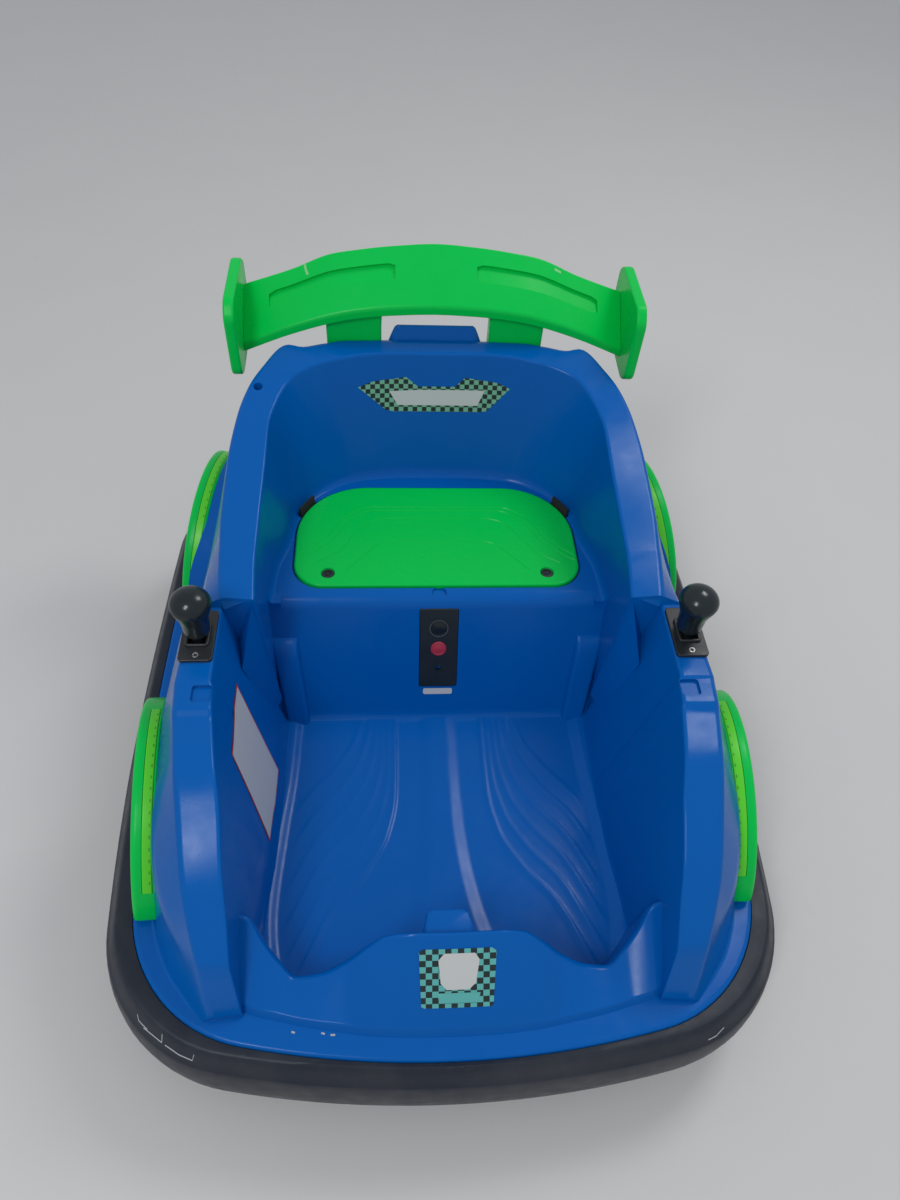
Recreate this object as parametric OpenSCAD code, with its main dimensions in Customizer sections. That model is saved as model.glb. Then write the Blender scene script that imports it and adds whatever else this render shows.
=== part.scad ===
/* [Tub] */
// Width of the tub over its flange
tub_w = 632; // [616:1:650]
// Length of the tub over its flange
tub_l = 758; // [740:1:786]
// Height of the tub's underside
base_z = 46; // [42:1:50]
// Height of the flange's top
flange_z = 130; // [124:1:136]
// Height of the footwell's floor
floor_z = 78; // [70:1:86]
// Height of the deck round the seat
deck_z = 225; // [215:1:235]
// Height of the rim at the top of the seat back
rim_z = 376; // [360:1:390]
// Front corner radius of the flange
flange_r = 142; // [128:1:152]
// Rear corner radius of the flange
flange_rear_r = 100; // [88:1:112]

/* [Bumper] */
// Thickness of the bumper at the car's sides
bumper_side_t = 25; // [22:1:31]
// Thickness of the bumper at the car's two ends
bumper_end_t = 21; // [19:1:28]
// Height of the bumper's lowest edge
bumper_low_z = 36; // [30:1:40]
// Front corner radius of the bumper
bumper_r = 148; // [138:1:160]
// Rear corner radius of the bumper
bumper_rear_r = 118; // [104:1:130]

/* [Seat] */
// Width of the seat lid
lid_w = 328; // [300:1:336]
// Length of the seat lid
lid_l = 163; // [156:1:166]
// Thickness of the seat lid
lid_t = 6; // [4:0.5:8]
// Place of the seat lid's front edge
lid_front_y = 84; // [82:1:88]
// Radius of the lid screws' heads
lid_screw_r = 7; // [5:0.5:8]

/* [Control panel] */
// Width of the control panel
panel_w = 44; // [36:1:54]
// Length of the control panel along the wall
panel_l = 102; // [90:1:110]
// Thickness of the control panel
panel_t = 5; // [4:0.5:8]
// Radius of the round push button
sound_button_r = 9.5; // [7:0.5:11]
// Radius of the power button
power_button_r = 9; // [7:0.5:11]
// Radius of the charging socket's bore
socket_r = 3; // [2.5:0.25:4]

/* [Steering levers] */
// Distance of each lever from the tub's side
lever_inset = 78; // [76:0.5:80]
// Width of a lever's base plate
plate_w = 32; // [28:1:36]
// Length of a lever's base plate
plate_l = 61; // [54:1:66]
// Thickness of a lever's base plate
plate_t = 3.5; // [3:0.5:5]
// Radius of a lever's knob
knob_r = 19.2; // [16:0.2:21]
// Height of a lever's knob above its plate
knob_h = 60; // [56:1:70]
// Radius of a lever's pivot pin
lever_pin_r = 3; // [2.5:0.25:3.5]

/* [Wing] */
// Length of the wing blade between its end plates
blade_l = 446; // [420:1:460]
// Thickness of the wing blade
blade_t = 9; // [7:0.5:11]
// Height of the wing above the rim of the seat back
wing_rise = 95; // [85:1:104]
// Thickness of an end plate
end_plate_t = 12; // [9:1:15]
// Height of an end plate
end_plate_h = 100; // [90:1:106]
// Width of a wing post at its foot
post_w = 64; // [54:1:68]
// Thickness of a wing post
post_t = 22; // [16:1:26]

/* [Fenders] */
// Outer radius of a fender arc
fender_r = 121; // [116:1:126]
// Width of a fender arc
fender_w = 22; // [19:1:25]
// Thickness of a fender arc
fender_t = 12; // [9:1:14]
// Width of the light strip in a fender
strip_w = 9; // [7:0.5:11]

/* [Drive wheels] */
// Radius of a drive wheel
wheel_r = 55; // [50:1:58]
// Width of a drive wheel
wheel_w = 34; // [28:1:38]
// Distance of each drive wheel's middle from the tub's side
wheel_inset = 86; // [82:1:91]
// Place of the drive axle along the car
axle_y = 60; // [52:1:68]
// Radius of a drive axle
axle_r = 4; // [3.5:0.25:5]
// Depth of a drive wheel's rubber band
tyre_t = 7; // [5:0.5:9]

/* [Casters] */
// Radius of a caster wheel
caster_r = 23; // [20:0.5:25]
// Width of a caster wheel
caster_w = 18; // [15:0.5:20]
// Trail of a caster wheel behind its swivel
caster_trail = 13; // [10:0.5:15]
// Radius of a caster's swivel pin
swivel_r = 5; // [4:0.25:6]
// Radius of a caster's axle
caster_axle_r = 3; // [2.5:0.25:3.5]
// Distance of each caster's swivel from the tub's end
caster_inset = 59; // [56:1:64]

/* [Hidden] */
$fn = 48;

blue = "#0b4fae";
green = "#12c93f";
lime = "#8be01c";
black = "#23262a";
grey = "#5b6066";

// The front is -Y, and left is the rider's left, +X
gap = 0.3;
run = 0.05;
half_w = tub_w / 2;
half_l = tub_l / 2;

// Outlines are rings of four long arcs and four corner arcs.
// A curve is the radii of a quarter's corner, of its side and of its end.
arc_steps = 8;
flange_front = [flange_r, 1800, 930];
flange_rear = [flange_rear_r, 6000, 1100];
bumper_front = [bumper_r, 2800, 1100];
bumper_rear = [bumper_rear_r, 6000, 1100];
function arc(c, r, a0, a1, n) =
    [for (i = [0:n]) let (a = a0 + (a1 - a0) * i / n) [c[0] + r * cos(a), c[1] + r * sin(a)]];
function corner_c(w, l, curve) =
    let (s = [w - curve[1], 0], e = [0, l - curve[2]],
         ds = curve[1] - curve[0], de = curve[2] - curve[0], d = e - s, q = norm(d),
         t = (ds * ds - de * de + q * q) / (2 * q), h = sqrt(ds * ds - t * t))
    [s[0] + (d[0] * t - d[1] * h) / q, s[1] + (d[1] * t + d[0] * h) / q];
function quarter(w, l, curve) =
    let (c = corner_c(w, l, curve),
         a0 = atan2(c[1], c[0] - w + curve[1]),
         a1 = atan2(c[1] - l + curve[2], c[0]))
    concat(arc([w - curve[1], 0], curve[1], 0, a0, 3),
           arc(c, curve[0], a0, a1, arc_steps),
           arc([0, l - curve[2]], curve[2], a1, 90, 4));
function flip(pts, fx, fy) = [for (p = pts) [p[0] * fx, p[1] * fy]];
function back_order(pts) = [for (i = [len(pts) - 1:-1:0]) pts[i]];
function ring(w, l, front, rear) =
    let (f = quarter(w, l, front), b = quarter(w, l, rear))
    concat(b, back_order(flip(b, -1, 1)), flip(f, -1, -1), back_order(flip(f, 1, -1)));

function lift(pts, z) = [for (p = pts) [p[0], p[1], z]];

// Skins a row of equal rings; a closed row joins its last ring to its first
module loft(rings, closed = false) {
    m = len(rings);
    n = len(rings[0]);
    last = closed ? m - 1 : m - 2;
    sides = [for (i = [0:last], j = [0:n - 1])
        let (k = (i + 1) % m, b = (j + 1) % n)
        each [[i * n + j, i * n + b, k * n + b], [i * n + j, k * n + b, k * n + j]]];
    caps = closed ? [] : [[for (j = [n - 1:-1:0]) j], [for (j = [0:n - 1]) (m - 1) * n + j]];
    polyhedron([for (r = rings) each r], concat(sides, caps), convexity = 8);
}

// The tub's sections are drawn for this width and length of its flange and this rise from the flange
// to the rim, and are stretched to the tub's own
DRAWN = [632, 758, 246];
function sx(x) = x * tub_w / DRAWN[0];
function sy(y) = y * tub_l / DRAWN[1];
function sz(z) = flange_z + z * (rim_z - flange_z) / DRAWN[2];

// Half of the tub's wall, from the left pod's front end round to the middle of the seat back.
// Columns: foot x, y; shoulder x, y, z; outer edge x, y, z; inner edge x, y, z; inner foot x, y, z.
// Each z is above the flange.
WALL = [
    [222, -339, 218, -339, 6, 214, -338, 9, 187, -336, 9, 186, -335, -52],
    [240, -318, 226, -315, 45, 220, -313, 64, 193, -314, 63, 187, -314, -52],
    [257, -297, 238, -292, 60, 226, -289, 88, 195, -284, 92, 185, -285, -52],
    [273, -264, 256, -262, 75, 231, -262, 111, 198, -257, 115, 183, -257, -52],
    [284, -224, 268, -220, 88, 237, -218, 136, 202, -211, 140, 180, -213, -52],
    [290, -175, 275, -170, 95, 244, -169, 154, 209, -170, 154, 176, -170, -52],
    [292, -128, 276, -128, 98, 250, -129, 157.5, 216, -126, 157.5, 174, -126, -52],
    [293, -119, 276, -119, 99, 251, -119, 161.5, 217, -119, 161.5, 173, -119, -52],
    [293, -94, 276, -94, 103, 253, -94, 161.5, 219, -94, 161.5, 173, -94, -52],
    [293, -90, 276, -90, 106, 253, -90, 163, 221, -90, 163, 173, -90, -52],
    [293, -2, 272, -2, 110, 250, -2, 163, 221, -2, 163, 174, -2, -52],
    [293, 2, 248, 2, 152, 221, 2, 173, 189, 2, 170, 178, 2, -52],
    [292, 45, 248, 45, 142, 226, 45, 181, 191, 45, 180, 190, 50, 85],
    [290, 100, 248, 100, 136, 229, 100, 194, 190, 100, 192, 186, 105, 85],
    [289, 165, 247, 165, 138, 228, 165, 209, 188, 160, 208, 174, 152, 85],
    [287, 230, 243, 228, 152, 222, 225, 224, 187, 212, 221, 162, 206, 85],
    [284, 290, 234, 278, 168, 213, 263, 233, 180, 247, 228, 144, 232, 85],
    [264, 332, 216, 322, 190, 198, 295, 240, 163, 281, 237, 118, 251, 85],
    [222, 345, 190, 344, 214, 172, 328, 247, 132, 299, 242, 92, 262, 85],
    [200, 350, 160, 349, 222, 156, 324, 246, 122, 302, 243, 84, 263, 85],
    [165, 356, 135, 354, 228, 130, 328, 248, 106, 306, 244, 72, 265, 85],
    [130, 361, 112, 358, 232, 110, 334, 248, 92, 310, 245, 60, 267, 85],
    [60, 364, 56, 360, 234, 56, 336, 248, 46, 314, 246, 30, 269, 85]];
wall_low_z = base_z + 8;
function wall_ring(s, side) = [
    [side * sx(s[0]), sy(s[1]), wall_low_z],
    [side * sx(s[0]), sy(s[1]), sz(4)],
    [side * sx(s[2]), sy(s[3]), sz(s[4])],
    [side * sx(s[5]), sy(s[6]), sz(s[7])],
    [side * sx(s[8]), sy(s[9]), sz(s[10])],
    [side * sx(s[11]), sy(s[12]), max(wall_low_z + 2, sz(s[13]))],
    [side * sx(s[11]), sy(s[12]), wall_low_z]];

// The nose from its middle to inside the left pod.
// Columns: x; top edge y, z; front foot y. Each z is above the flange.
NOSE = [
    [0, -292, 70, -360],
    [62, -291, 68, -358],
    [104, -299, 28, -352],
    [142, -306, 8, -345],
    [158, -294, 16, -341],
    [172, -280, 32, -338],
    [187, -264, 52, -333],
    [205, -262, 52, -328]];
nose_back = 6;
function nose_ring(s, side) = [
    [side * sx(s[0]), sy(s[1]) + nose_back, wall_low_z],
    [side * sx(s[0]), sy(s[1]) + nose_back, floor_z - 1],
    [side * sx(s[0]), sy(s[1]), sz(s[2])],
    [side * sx(s[0]), sy(s[3]), flange_z + 2],
    [side * sx(s[0]), sy(s[3]), wall_low_z]];

// The seat box has a front wall that leans back from the footwell
wall_foot_y = sy(6);
wall_tilt = 22.8;
function wall_y(z) = wall_foot_y + (z - floor_z) * tan(wall_tilt);
deck_half_w = sx(196);
deck_back_y = sy(300);
deck_nose_r = 12;

// The levers' pads
pad_z = sz(163);
lever_x = half_w - lever_inset * tub_w / DRAWN[0];
lever_y = sy(-39);
lever_pin_drop = 10;
lever_pin_z = pad_z - lever_pin_drop;
lever_pocket_d = 20;
lever_swing = 18;
plate_r = 4;
stem_r = 7.5;

// Wing. Columns: share of half its length; front edge y, z; rear edge y, z. Each y and z is from the
// middle of the rear edge.
wing_z = rim_z + wing_rise;
wing_top_y = sy(391);
BLADE = [
    [0, -58, -46.5, 0, 0],
    [0.22, -58, -48.5, 0, -3.5],
    [0.44, -58, -54.5, -1, -9.7],
    [0.53, -58, -59, -1, -13.5],
    [0.75, -59, -74, -3, -33],
    [1, -60, -96.5, -4, -52]];
lip_t = 10.5;
function blade_ring(s, side) =
    let (x = side * s[0] * blade_l / 2, y0 = wing_top_y + s[1], z0 = wing_z + s[2],
         y1 = wing_top_y + s[3], z1 = wing_z + s[4])
    [[x, y0, z0 - lip_t], [x, y0, z0], [x, y1, z1], [x, y1, z1 - blade_t * 0.7],
     [x, y0 + lip_t, z0 - blade_t * 0.6]];
post_x = sx(95.5);
post_y = sy(350);
post_foot_z = sz(220);
post_flare = 2;
post_straight_z = rim_z + 4;
ridge_z = sz(261);

// Each fender is part of a ring whose axis leans with the tub's side.
// Columns: y of the axis, height of the axis below the flange, distance of the outer face from the
// tub's middle, turn of the axis in plan, its lean, angles of the two ends from the top, positive
// towards the front
FENDERS = [[-134, 13, 309, -5.4, -7.1, -61, 81], [262, 12, 295, 7.6, -5.4, -40, 81]];
arch_w = 30;
arch_depth = 40;
arch_inset = 8;
arch_trim = -1;
strip_t = 4;
strip_proud = 0.6;
strip_inset = 3;

track = tub_w - 2 * wheel_inset;
well_gap = 7;
well_half_l = wheel_r + well_gap;
well_x0 = track / 2 - wheel_w / 2 - 12;
well_x1 = track / 2 + wheel_w / 2 + well_gap;
well_top_z = wheel_r * 2 + well_gap;
gearbox_w = 42;
gearbox_face_x = well_x0 + 6;
bay_half_w = well_x0 + 1;
bay_top_z = deck_z - 18;
bay_back_y = sy(250);

caster_y = half_l - caster_inset;
caster_z = caster_r;
mount_roof_t = 4;
mount_z = floor_z - mount_roof_t - gap;
mount_r = 27;
mount_t = 4;
fork_top_z = mount_z - mount_t - 1;
fork_t = 4;
leg_t = 3;
leg_gap = 1;
caster_well_r = 46;
pan_t = 6;
pan_low_z = base_z - pan_t;

module slab(pts, z0, z1) {
    translate([0, 0, z0]) linear_extrude(z1 - z0) polygon(pts);
}

function round_box(w, l, r, n = 6) = concat(
    arc([w / 2 - r, l / 2 - r], r, 0, 90, n), arc([-w / 2 + r, l / 2 - r], r, 90, 180, n),
    arc([-w / 2 + r, -l / 2 + r], r, 180, 270, n), arc([w / 2 - r, -l / 2 + r], r, 270, 360, n));

module both_sides() {
    children();
    mirror([1, 0, 0]) children();
}

module both_ends() {
    for (e = [-1, 1]) translate([0, e * caster_y, 0]) children();
}

module bar_y(r, l) { rotate([-90, 0, 0]) cylinder(r = r, h = l, center = true); }
module bar_x(r, l) { rotate([0, 90, 0]) cylinder(r = r, h = l, center = true); }

// Tub
module tub_wall() {
    loft(concat([for (s = WALL) wall_ring(s, 1)], [for (s = back_order(WALL)) wall_ring(s, -1)]));
}

module tub_nose() {
    m = len(NOSE);
    for (side = [1, -1], i = [0:m - 2])
        hull() loft([nose_ring(NOSE[i], side), nose_ring(NOSE[i + 1], side)]);
}

module seat_box() {
    translate([-deck_half_w, 0, 0]) rotate([90, 0, 90]) linear_extrude(2 * deck_half_w)
        polygon(concat([[wall_foot_y, wall_low_z], [wall_foot_y, floor_z]],
                       [[wall_y(deck_z - deck_nose_r), deck_z - deck_nose_r]],
                       [[wall_y(deck_z) + deck_nose_r / 3, deck_z - deck_nose_r / 3]],
                       [[wall_y(deck_z) + deck_nose_r, deck_z], [deck_back_y, deck_z]],
                       [[deck_back_y, wall_low_z]]));
}

module footwell_cut() {
    back = wall_y(flange_z) + 2;
    pts = [[sx(200), back], [sx(200), sy(-262)], [sx(160), sy(-304)], [sx(-160), sy(-304)],
           [sx(-200), sy(-262)], [sx(-200), back]];
    slab(pts, floor_z, flange_z + 1);
}

module equipment_bay() {
    translate([-bay_half_w, 0, 0]) rotate([90, 0, 90]) linear_extrude(2 * bay_half_w)
        polygon([[wall_foot_y + 12, base_z - 1], [wall_foot_y + 12, floor_z - 12],
                 [wall_y(bay_top_z) + 18, bay_top_z], [bay_back_y, bay_top_z],
                 [bay_back_y, base_z - 1]]);
}

module wheel_wells(z0, grow = 0) {
    both_sides() translate([well_x0 - grow, axle_y - well_half_l, z0])
        cube([well_x1 - well_x0 + grow, 2 * well_half_l, well_top_z - z0]);
}

// The end of the band round the seat runs down the inside of each pod
BAND_END = [
    [[190, 3, 170], [222, 3, 172], [219, -4, 162], [211, 6, 120], [190, 12, 165], [222, 12, 165],
     [222, 12, 120], [195, 12, 118]],
    [[191, 4, 169], [212, 7, 119], [206, -31, 101], [179, 7, -9], [225, 7, -9], [187, -18, -9]]];
module band_end() {
    both_sides() for (points = BAND_END)
        hull() polyhedron([for (p = points) [sx(p[0]), sy(p[1]), sz(p[2])]],
                          [[for (i = [0:len(points) - 1]) i]]);
}

module seat_back_ridge() {
    low_z = post_foot_z - 10;
    x = post_x - post_w / 2 - 3.5;
    slope = 15;
    hull() {
        translate([-x, sy(335), low_z]) cube([2 * x, sy(18), 12]);
        translate([slope - x, sy(345), low_z]) cube([2 * x - 2 * slope, sy(6), ridge_z - low_z]);
    }
}

module arch_bosses() {
    in_r = fender_r - arch_depth;
    for (f = FENDERS) both_sides() {
        turn_band(f, in_r, fender_r, -fender_w - arch_w, -fender_w, arch_trim);
        turn_band(f, in_r, fender_r - fender_t, -fender_w - 1, -arch_inset, arch_trim);
    }
}

module fender_cuts() {
    for (f = FENDERS) both_sides() fender_room(f);
}

module panel_frame() {
    mid_z = (floor_z + deck_z) / 2 + 13.5;
    translate([0, wall_y(mid_z), mid_z]) rotate([90 - wall_tilt, 0, 0]) children();
}

module tub() {
    color(blue) difference() {
        union() {
            difference() {
                slab(ring(half_w, half_l, flange_front, flange_rear), base_z, flange_z);
                footwell_cut();
            }
            tub_wall();
            tub_nose();
            seat_box();
            band_end();
            seat_back_ridge();
            arch_bosses();
        }
        equipment_bay();
        wheel_wells(base_z - 1);
        both_ends() translate([0, 0, base_z - 1])
            cylinder(r = caster_well_r, h = floor_z - mount_roof_t - base_z + 1);
        fender_cuts();
        lid_cut();
        panel_frame() {
            slab(round_box(panel_w + 2 * gap, panel_l + 2 * gap, 3), 0.5 - panel_t, panel_t);
            translate([0, -button_pitch, -40]) cylinder(r = socket_r + 2, h = 40);
        }
        both_sides() translate([lever_x, lever_y, pad_z - lever_pocket_d])
            cube([plate_w - 8, plate_l - 14, 2 * lever_pocket_d], center = true);
        both_sides() translate([post_x - post_w / 2 - gap, post_y - post_t / 2 - gap, post_foot_z - gap])
            cube([post_w + 2 * gap, post_t + 2 * gap, rim_z - post_foot_z + 30]);
    }
}

// Seat lid
belt_w = 28;
belt_t = 3;
belt_h = 19;
belt_depth = 8;
// Where a belt end comes up along the lid's rear corner, from the side, and its gap to the lid
belt_angle = 32;
belt_gap = 0.8;
lid_back_r = 82;
lid_front_r = 34;
lid_y = lid_front_y + lid_l / 2;
lid_lip = 14;
lid_proud = 3;
lid_z = deck_z + lid_proud;
lid_screw_x = lid_w / 2 - 39;
lid_screw_z = lid_z - lid_t + 2.5;
lid_screw_y = lid_front_y + 19;
function lid_ring(grow) =
    let (w = lid_w / 2 + grow, y0 = lid_front_y - grow, y1 = lid_front_y + lid_l + grow,
         rb = lid_back_r + grow, rf = lid_front_r + grow)
    concat(arc([w - rb, y1 - rb], rb, 0, 90, 10), arc([rb - w, y1 - rb], rb, 90, 180, 10),
           arc([rf - w, y0 + rf], rf, 180, 270, 6), arc([w - rf, y0 + rf], rf, 270, 360, 6));

module lid_cut() {
    slab(lid_ring(2), lid_z - lid_t, deck_z + 1);
    slab(lid_ring(-lid_lip), bay_top_z - 1, deck_z);
    both_sides() translate([lid_screw_x, lid_screw_y, bay_top_z - 1]) cylinder(r = 3, h = lid_t + 20);
    belt_band(gap);
}

module seat_lid() {
    color(green) difference() {
        slab(lid_ring(0), lid_z - lid_t, lid_z);
        both_sides() translate([lid_screw_x, lid_screw_y, 0]) {
            translate([0, 0, lid_screw_z]) cylinder(r = lid_screw_r + 0.5, h = lid_t);
            translate([0, 0, lid_z - lid_t - 1]) cylinder(r = 2.2, h = lid_t);
        }
    }
}

module lid_screws() {
    color(black) both_sides() translate([lid_screw_x, lid_screw_y, 0]) {
        translate([0, 0, lid_screw_z]) cylinder(r = lid_screw_r, h = 1.8);
        translate([0, 0, lid_z - lid_t - 10]) cylinder(r = 2, h = lid_screw_z - lid_z + lid_t + 10.5);
    }
}

module belt_band(grow) {
    both_sides() translate([lid_w / 2 - lid_back_r, lid_front_y + lid_l - lid_back_r, deck_z])
        rotate([0, 0, belt_angle]) translate([lid_back_r + belt_gap + belt_t / 2, 0, belt_h / 2 - belt_depth])
            cube([belt_t + 2 * grow, belt_w + 2 * grow, belt_h + 2 * grow], center = true);
}

module belt_webbing() {
    color(black) belt_band(0);
}

// Bumper
// Columns: height share, inset from the widest outline
BUMPER = [[0, 11], [0.06, 5], [0.25, 1], [0.5, 0], [0.72, 2], [0.81, 5], [0.9, 9], [1, 14]];
bumper_top_z = flange_z - 1;
module bumper_ring() {
    z = function(s) bumper_low_z + s * (bumper_top_z - bumper_low_z);
    outer = [for (b = BUMPER) let (s = b[1], less = [s / 2, 0, 0])
        lift(ring(half_w + bumper_side_t - s, half_l + bumper_end_t - s, bumper_front - less,
                  bumper_rear - less), z(b[0]))];
    inner = ring(half_w + gap, half_l + gap, flange_front, flange_rear);
    color(black) loft(concat(outer, [lift(inner, z(1)), lift(inner, z(0))]), closed = true);
}

module base_pan() {
    rib_x = [-150, -75, 75, 150];
    rib_y = [-255, -110, 170, 251];
    rib_t = 4;
    rib_h = 3;
    color(black) difference() {
        union() {
            slab(ring(half_w - 8, half_l - 8, flange_front, flange_rear), pan_low_z, base_z);
            for (x = rib_x) translate([sx(x) - rib_t / 2, -sy(255), pan_low_z - rib_h])
                cube([rib_t, sy(510), rib_h + 0.5]);
            for (y = rib_y) translate([-sx(152), sy(y), pan_low_z - rib_h])
                cube([sx(304), rib_t, rib_h + 0.5]);
        }
        wheel_wells(pan_low_z - 5);
        both_ends() translate([0, 0, pan_low_z - 5]) cylinder(r = caster_well_r - 2, h = pan_t + 10);
    }
}

battery_w = 102;
battery_l = 70;
battery_h = 106;
battery_y = sy(118);
module battery() {
    color(grey) translate([-battery_w / 2, battery_y, base_z]) cube([battery_w, battery_l, battery_h]);
}

// Control panel
button_pitch = 26;
module control_panel() {
    color(black) panel_frame() translate([0, 0, 0.5 - panel_t]) difference() {
        slab(round_box(panel_w, panel_l, 3), 0, panel_t);
        translate([0, button_pitch, panel_t - 2.5]) cylinder(r = sound_button_r + gap, h = 4);
        translate([0, 0, panel_t - 2.5]) cylinder(r = power_button_r + gap, h = 4);
        translate([0, -button_pitch, -1]) cylinder(r = socket_r, h = panel_t + 2);
    }
}
module sound_button() {
    color(black) panel_frame() translate([0, button_pitch, -2]) cylinder(r = sound_button_r, h = 3);
}
module power_button() {
    color("#c0304a") panel_frame() translate([0, 0, -2]) cylinder(r = power_button_r, h = 4);
}

// Wing
module blade() {
    far = back_order([for (i = [1:len(BLADE) - 1]) blade_ring(BLADE[i], -1)]);
    loft(concat(far, [for (b = BLADE) blade_ring(b, 1)]));
}

function post_ring(flare, z) =
    let (x = post_w / 2 + flare, y = post_t / 2)
    [for (c = [[-1, -1], [-1, 1], [1, 1], [1, -1]]) [post_x + c[0] * x, post_y + c[1] * y, z]];
// The middle of the blade's thickness over a place
function blade_z(x, y) =
    let (s = 2 * x / blade_l, y0 = wing_top_y + BLADE[0][1],
         z0 = lookup(s, [for (b = BLADE) [b[0], b[2]]]), z1 = lookup(s, [for (b = BLADE) [b[0], b[4]]]))
    wing_z + z0 + (z1 - z0) * (y - y0) / (wing_top_y - y0) - blade_t / 2;
function post_top() = [for (p = post_ring(post_flare, 0)) [p[0], p[1], blade_z(p[0], p[1])]];

module wing() {
    color(green) {
        blade();
        both_sides() loft([post_ring(0, post_foot_z), post_ring(0, post_straight_z), post_top()]);
    }
}

// End plate outline: columns share of its length from the rear end, share of its height
END_PLATE = [
    [0.98, 0.10], [1, 0.82], [0.88, 0.97], [0.14, 1],
    [0.02, 0.9], [0, 0.45], [0.29, 0.06], [0.86, 0]];
end_plate_l = 117;
end_plate_rear_y = wing_top_y + 19;
end_plate_drop = 124;
end_plate_low_z = wing_z - end_plate_drop;
module end_plate(side) {
    x = side > 0 ? blade_l / 2 + gap : -blade_l / 2 - gap - end_plate_t;
    color(green) translate([x, 0, 0]) rotate([90, 0, 90]) linear_extrude(end_plate_t)
        polygon([for (p = END_PLATE)
            [end_plate_rear_y - p[0] * end_plate_l, end_plate_low_z + p[1] * end_plate_h]]);
}
module wing_plate_left() { end_plate(1); }
module wing_plate_right() { end_plate(-1); }

// Fenders
module turn_band(f, r0, r1, x0, x1, trim) {
    translate([sx(f[2]), sy(f[0]), flange_z - f[1]]) rotate([0, f[4], f[3]]) rotate([0, 90, 0])
        rotate([0, 0, 180 + f[5] + trim]) rotate_extrude(angle = f[6] - f[5] - 2 * trim, $fn = 96)
            translate([r0, x0]) square([r1 - r0, x1 - x0]);
}
strip_trim = 5;
cut_trim = -0.15;
room = 9;
module fender_band(f) { turn_band(f, fender_r - fender_t, fender_r, -fender_w, 0, 0); }
module fender_room(f) {
    turn_band(f, fender_r - fender_t - gap, fender_r + room, -fender_w - gap, room, cut_trim);
}
module strip_band(f, grow, trim) {
    x = strip_inset - fender_w;
    turn_band(f, fender_r - strip_t - grow, fender_r + strip_proud + 4 * grow,
              x - grow, x + strip_w + grow, trim);
}
module fender(f) {
    color(green) difference() {
        fender_band(f);
        strip_band(f, gap, strip_trim + cut_trim);
    }
}
module strip(f) { color(lime) strip_band(f, 0, strip_trim); }
module fender_front_left() { fender(FENDERS[0]); }
module fender_front_right() { mirror([1, 0, 0]) fender(FENDERS[0]); }
module fender_rear_left() { fender(FENDERS[1]); }
module fender_rear_right() { mirror([1, 0, 0]) fender(FENDERS[1]); }
module strip_front_left() { strip(FENDERS[0]); }
module strip_front_right() { mirror([1, 0, 0]) strip(FENDERS[0]); }
module strip_rear_left() { strip(FENDERS[1]); }
module strip_rear_right() { mirror([1, 0, 0]) strip(FENDERS[1]); }

// Steering levers
ear_t = 3;
ear_l = 12;
lever_slot = 17;
knob_low_z = pad_z + plate_t + 7;
knob_dome = 15;
module lever_base() {
    ear_x = lever_slot / 2 + gap;
    color(black) translate([lever_x, lever_y, pad_z]) difference() {
        union() {
            slab(round_box(plate_w, plate_l, plate_r), 0.2, plate_t);
            both_sides() translate([ear_x - 0.5, -ear_l / 2, -lever_pin_drop - 5])
                cube([ear_t, ear_l, lever_pin_drop + 6]);
            translate([0, 0, -lever_pin_drop]) bar_x(lever_pin_r, 2 * ear_x + 2 * ear_t - 1.2);
        }
        translate([0, 0, plate_t / 2]) cube([lever_slot, 27, plate_t + 1], center = true);
        for (e = [-1, 1]) translate([0, e * (plate_l / 2 - 8), -1]) cylinder(r = 2, h = plate_t + 2);
    }
}
module lever() {
    color(black) translate([lever_x, lever_y, lever_pin_z]) difference() {
        union() {
            bar_x(6, lever_slot - 1);
            cylinder(r1 = 6, r2 = stem_r, h = knob_low_z - lever_pin_z);
        }
        bar_x(lever_pin_r + run, lever_slot + 2);
    }
}
module knob() {
    seam = pad_z + plate_t + knob_h - knob_dome;
    low = knob_low_z;
    color(black) translate([lever_x, lever_y, 0]) rotate_extrude() polygon(concat(
        [[0, low], [stem_r + 4, low], [stem_r + 5, low + 3], [knob_r - 6, seam - 21], [knob_r - 4.6, seam - 15],
         [knob_r - 2.6, seam - 9], [knob_r - 0.9, seam - 4], [knob_r - 0.4, seam - 1]],
        [for (a = [0:15:90]) [knob_r * cos(a), seam + knob_dome * sin(a)]]));
}
module lever_base_left() { lever_base(); }
module lever_base_right() { mirror([1, 0, 0]) lever_base(); }
module lever_left() { lever(); }
module lever_right() { mirror([1, 0, 0]) lever(); }
module knob_left() { knob(); }
module knob_right() { mirror([1, 0, 0]) knob(); }

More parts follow.
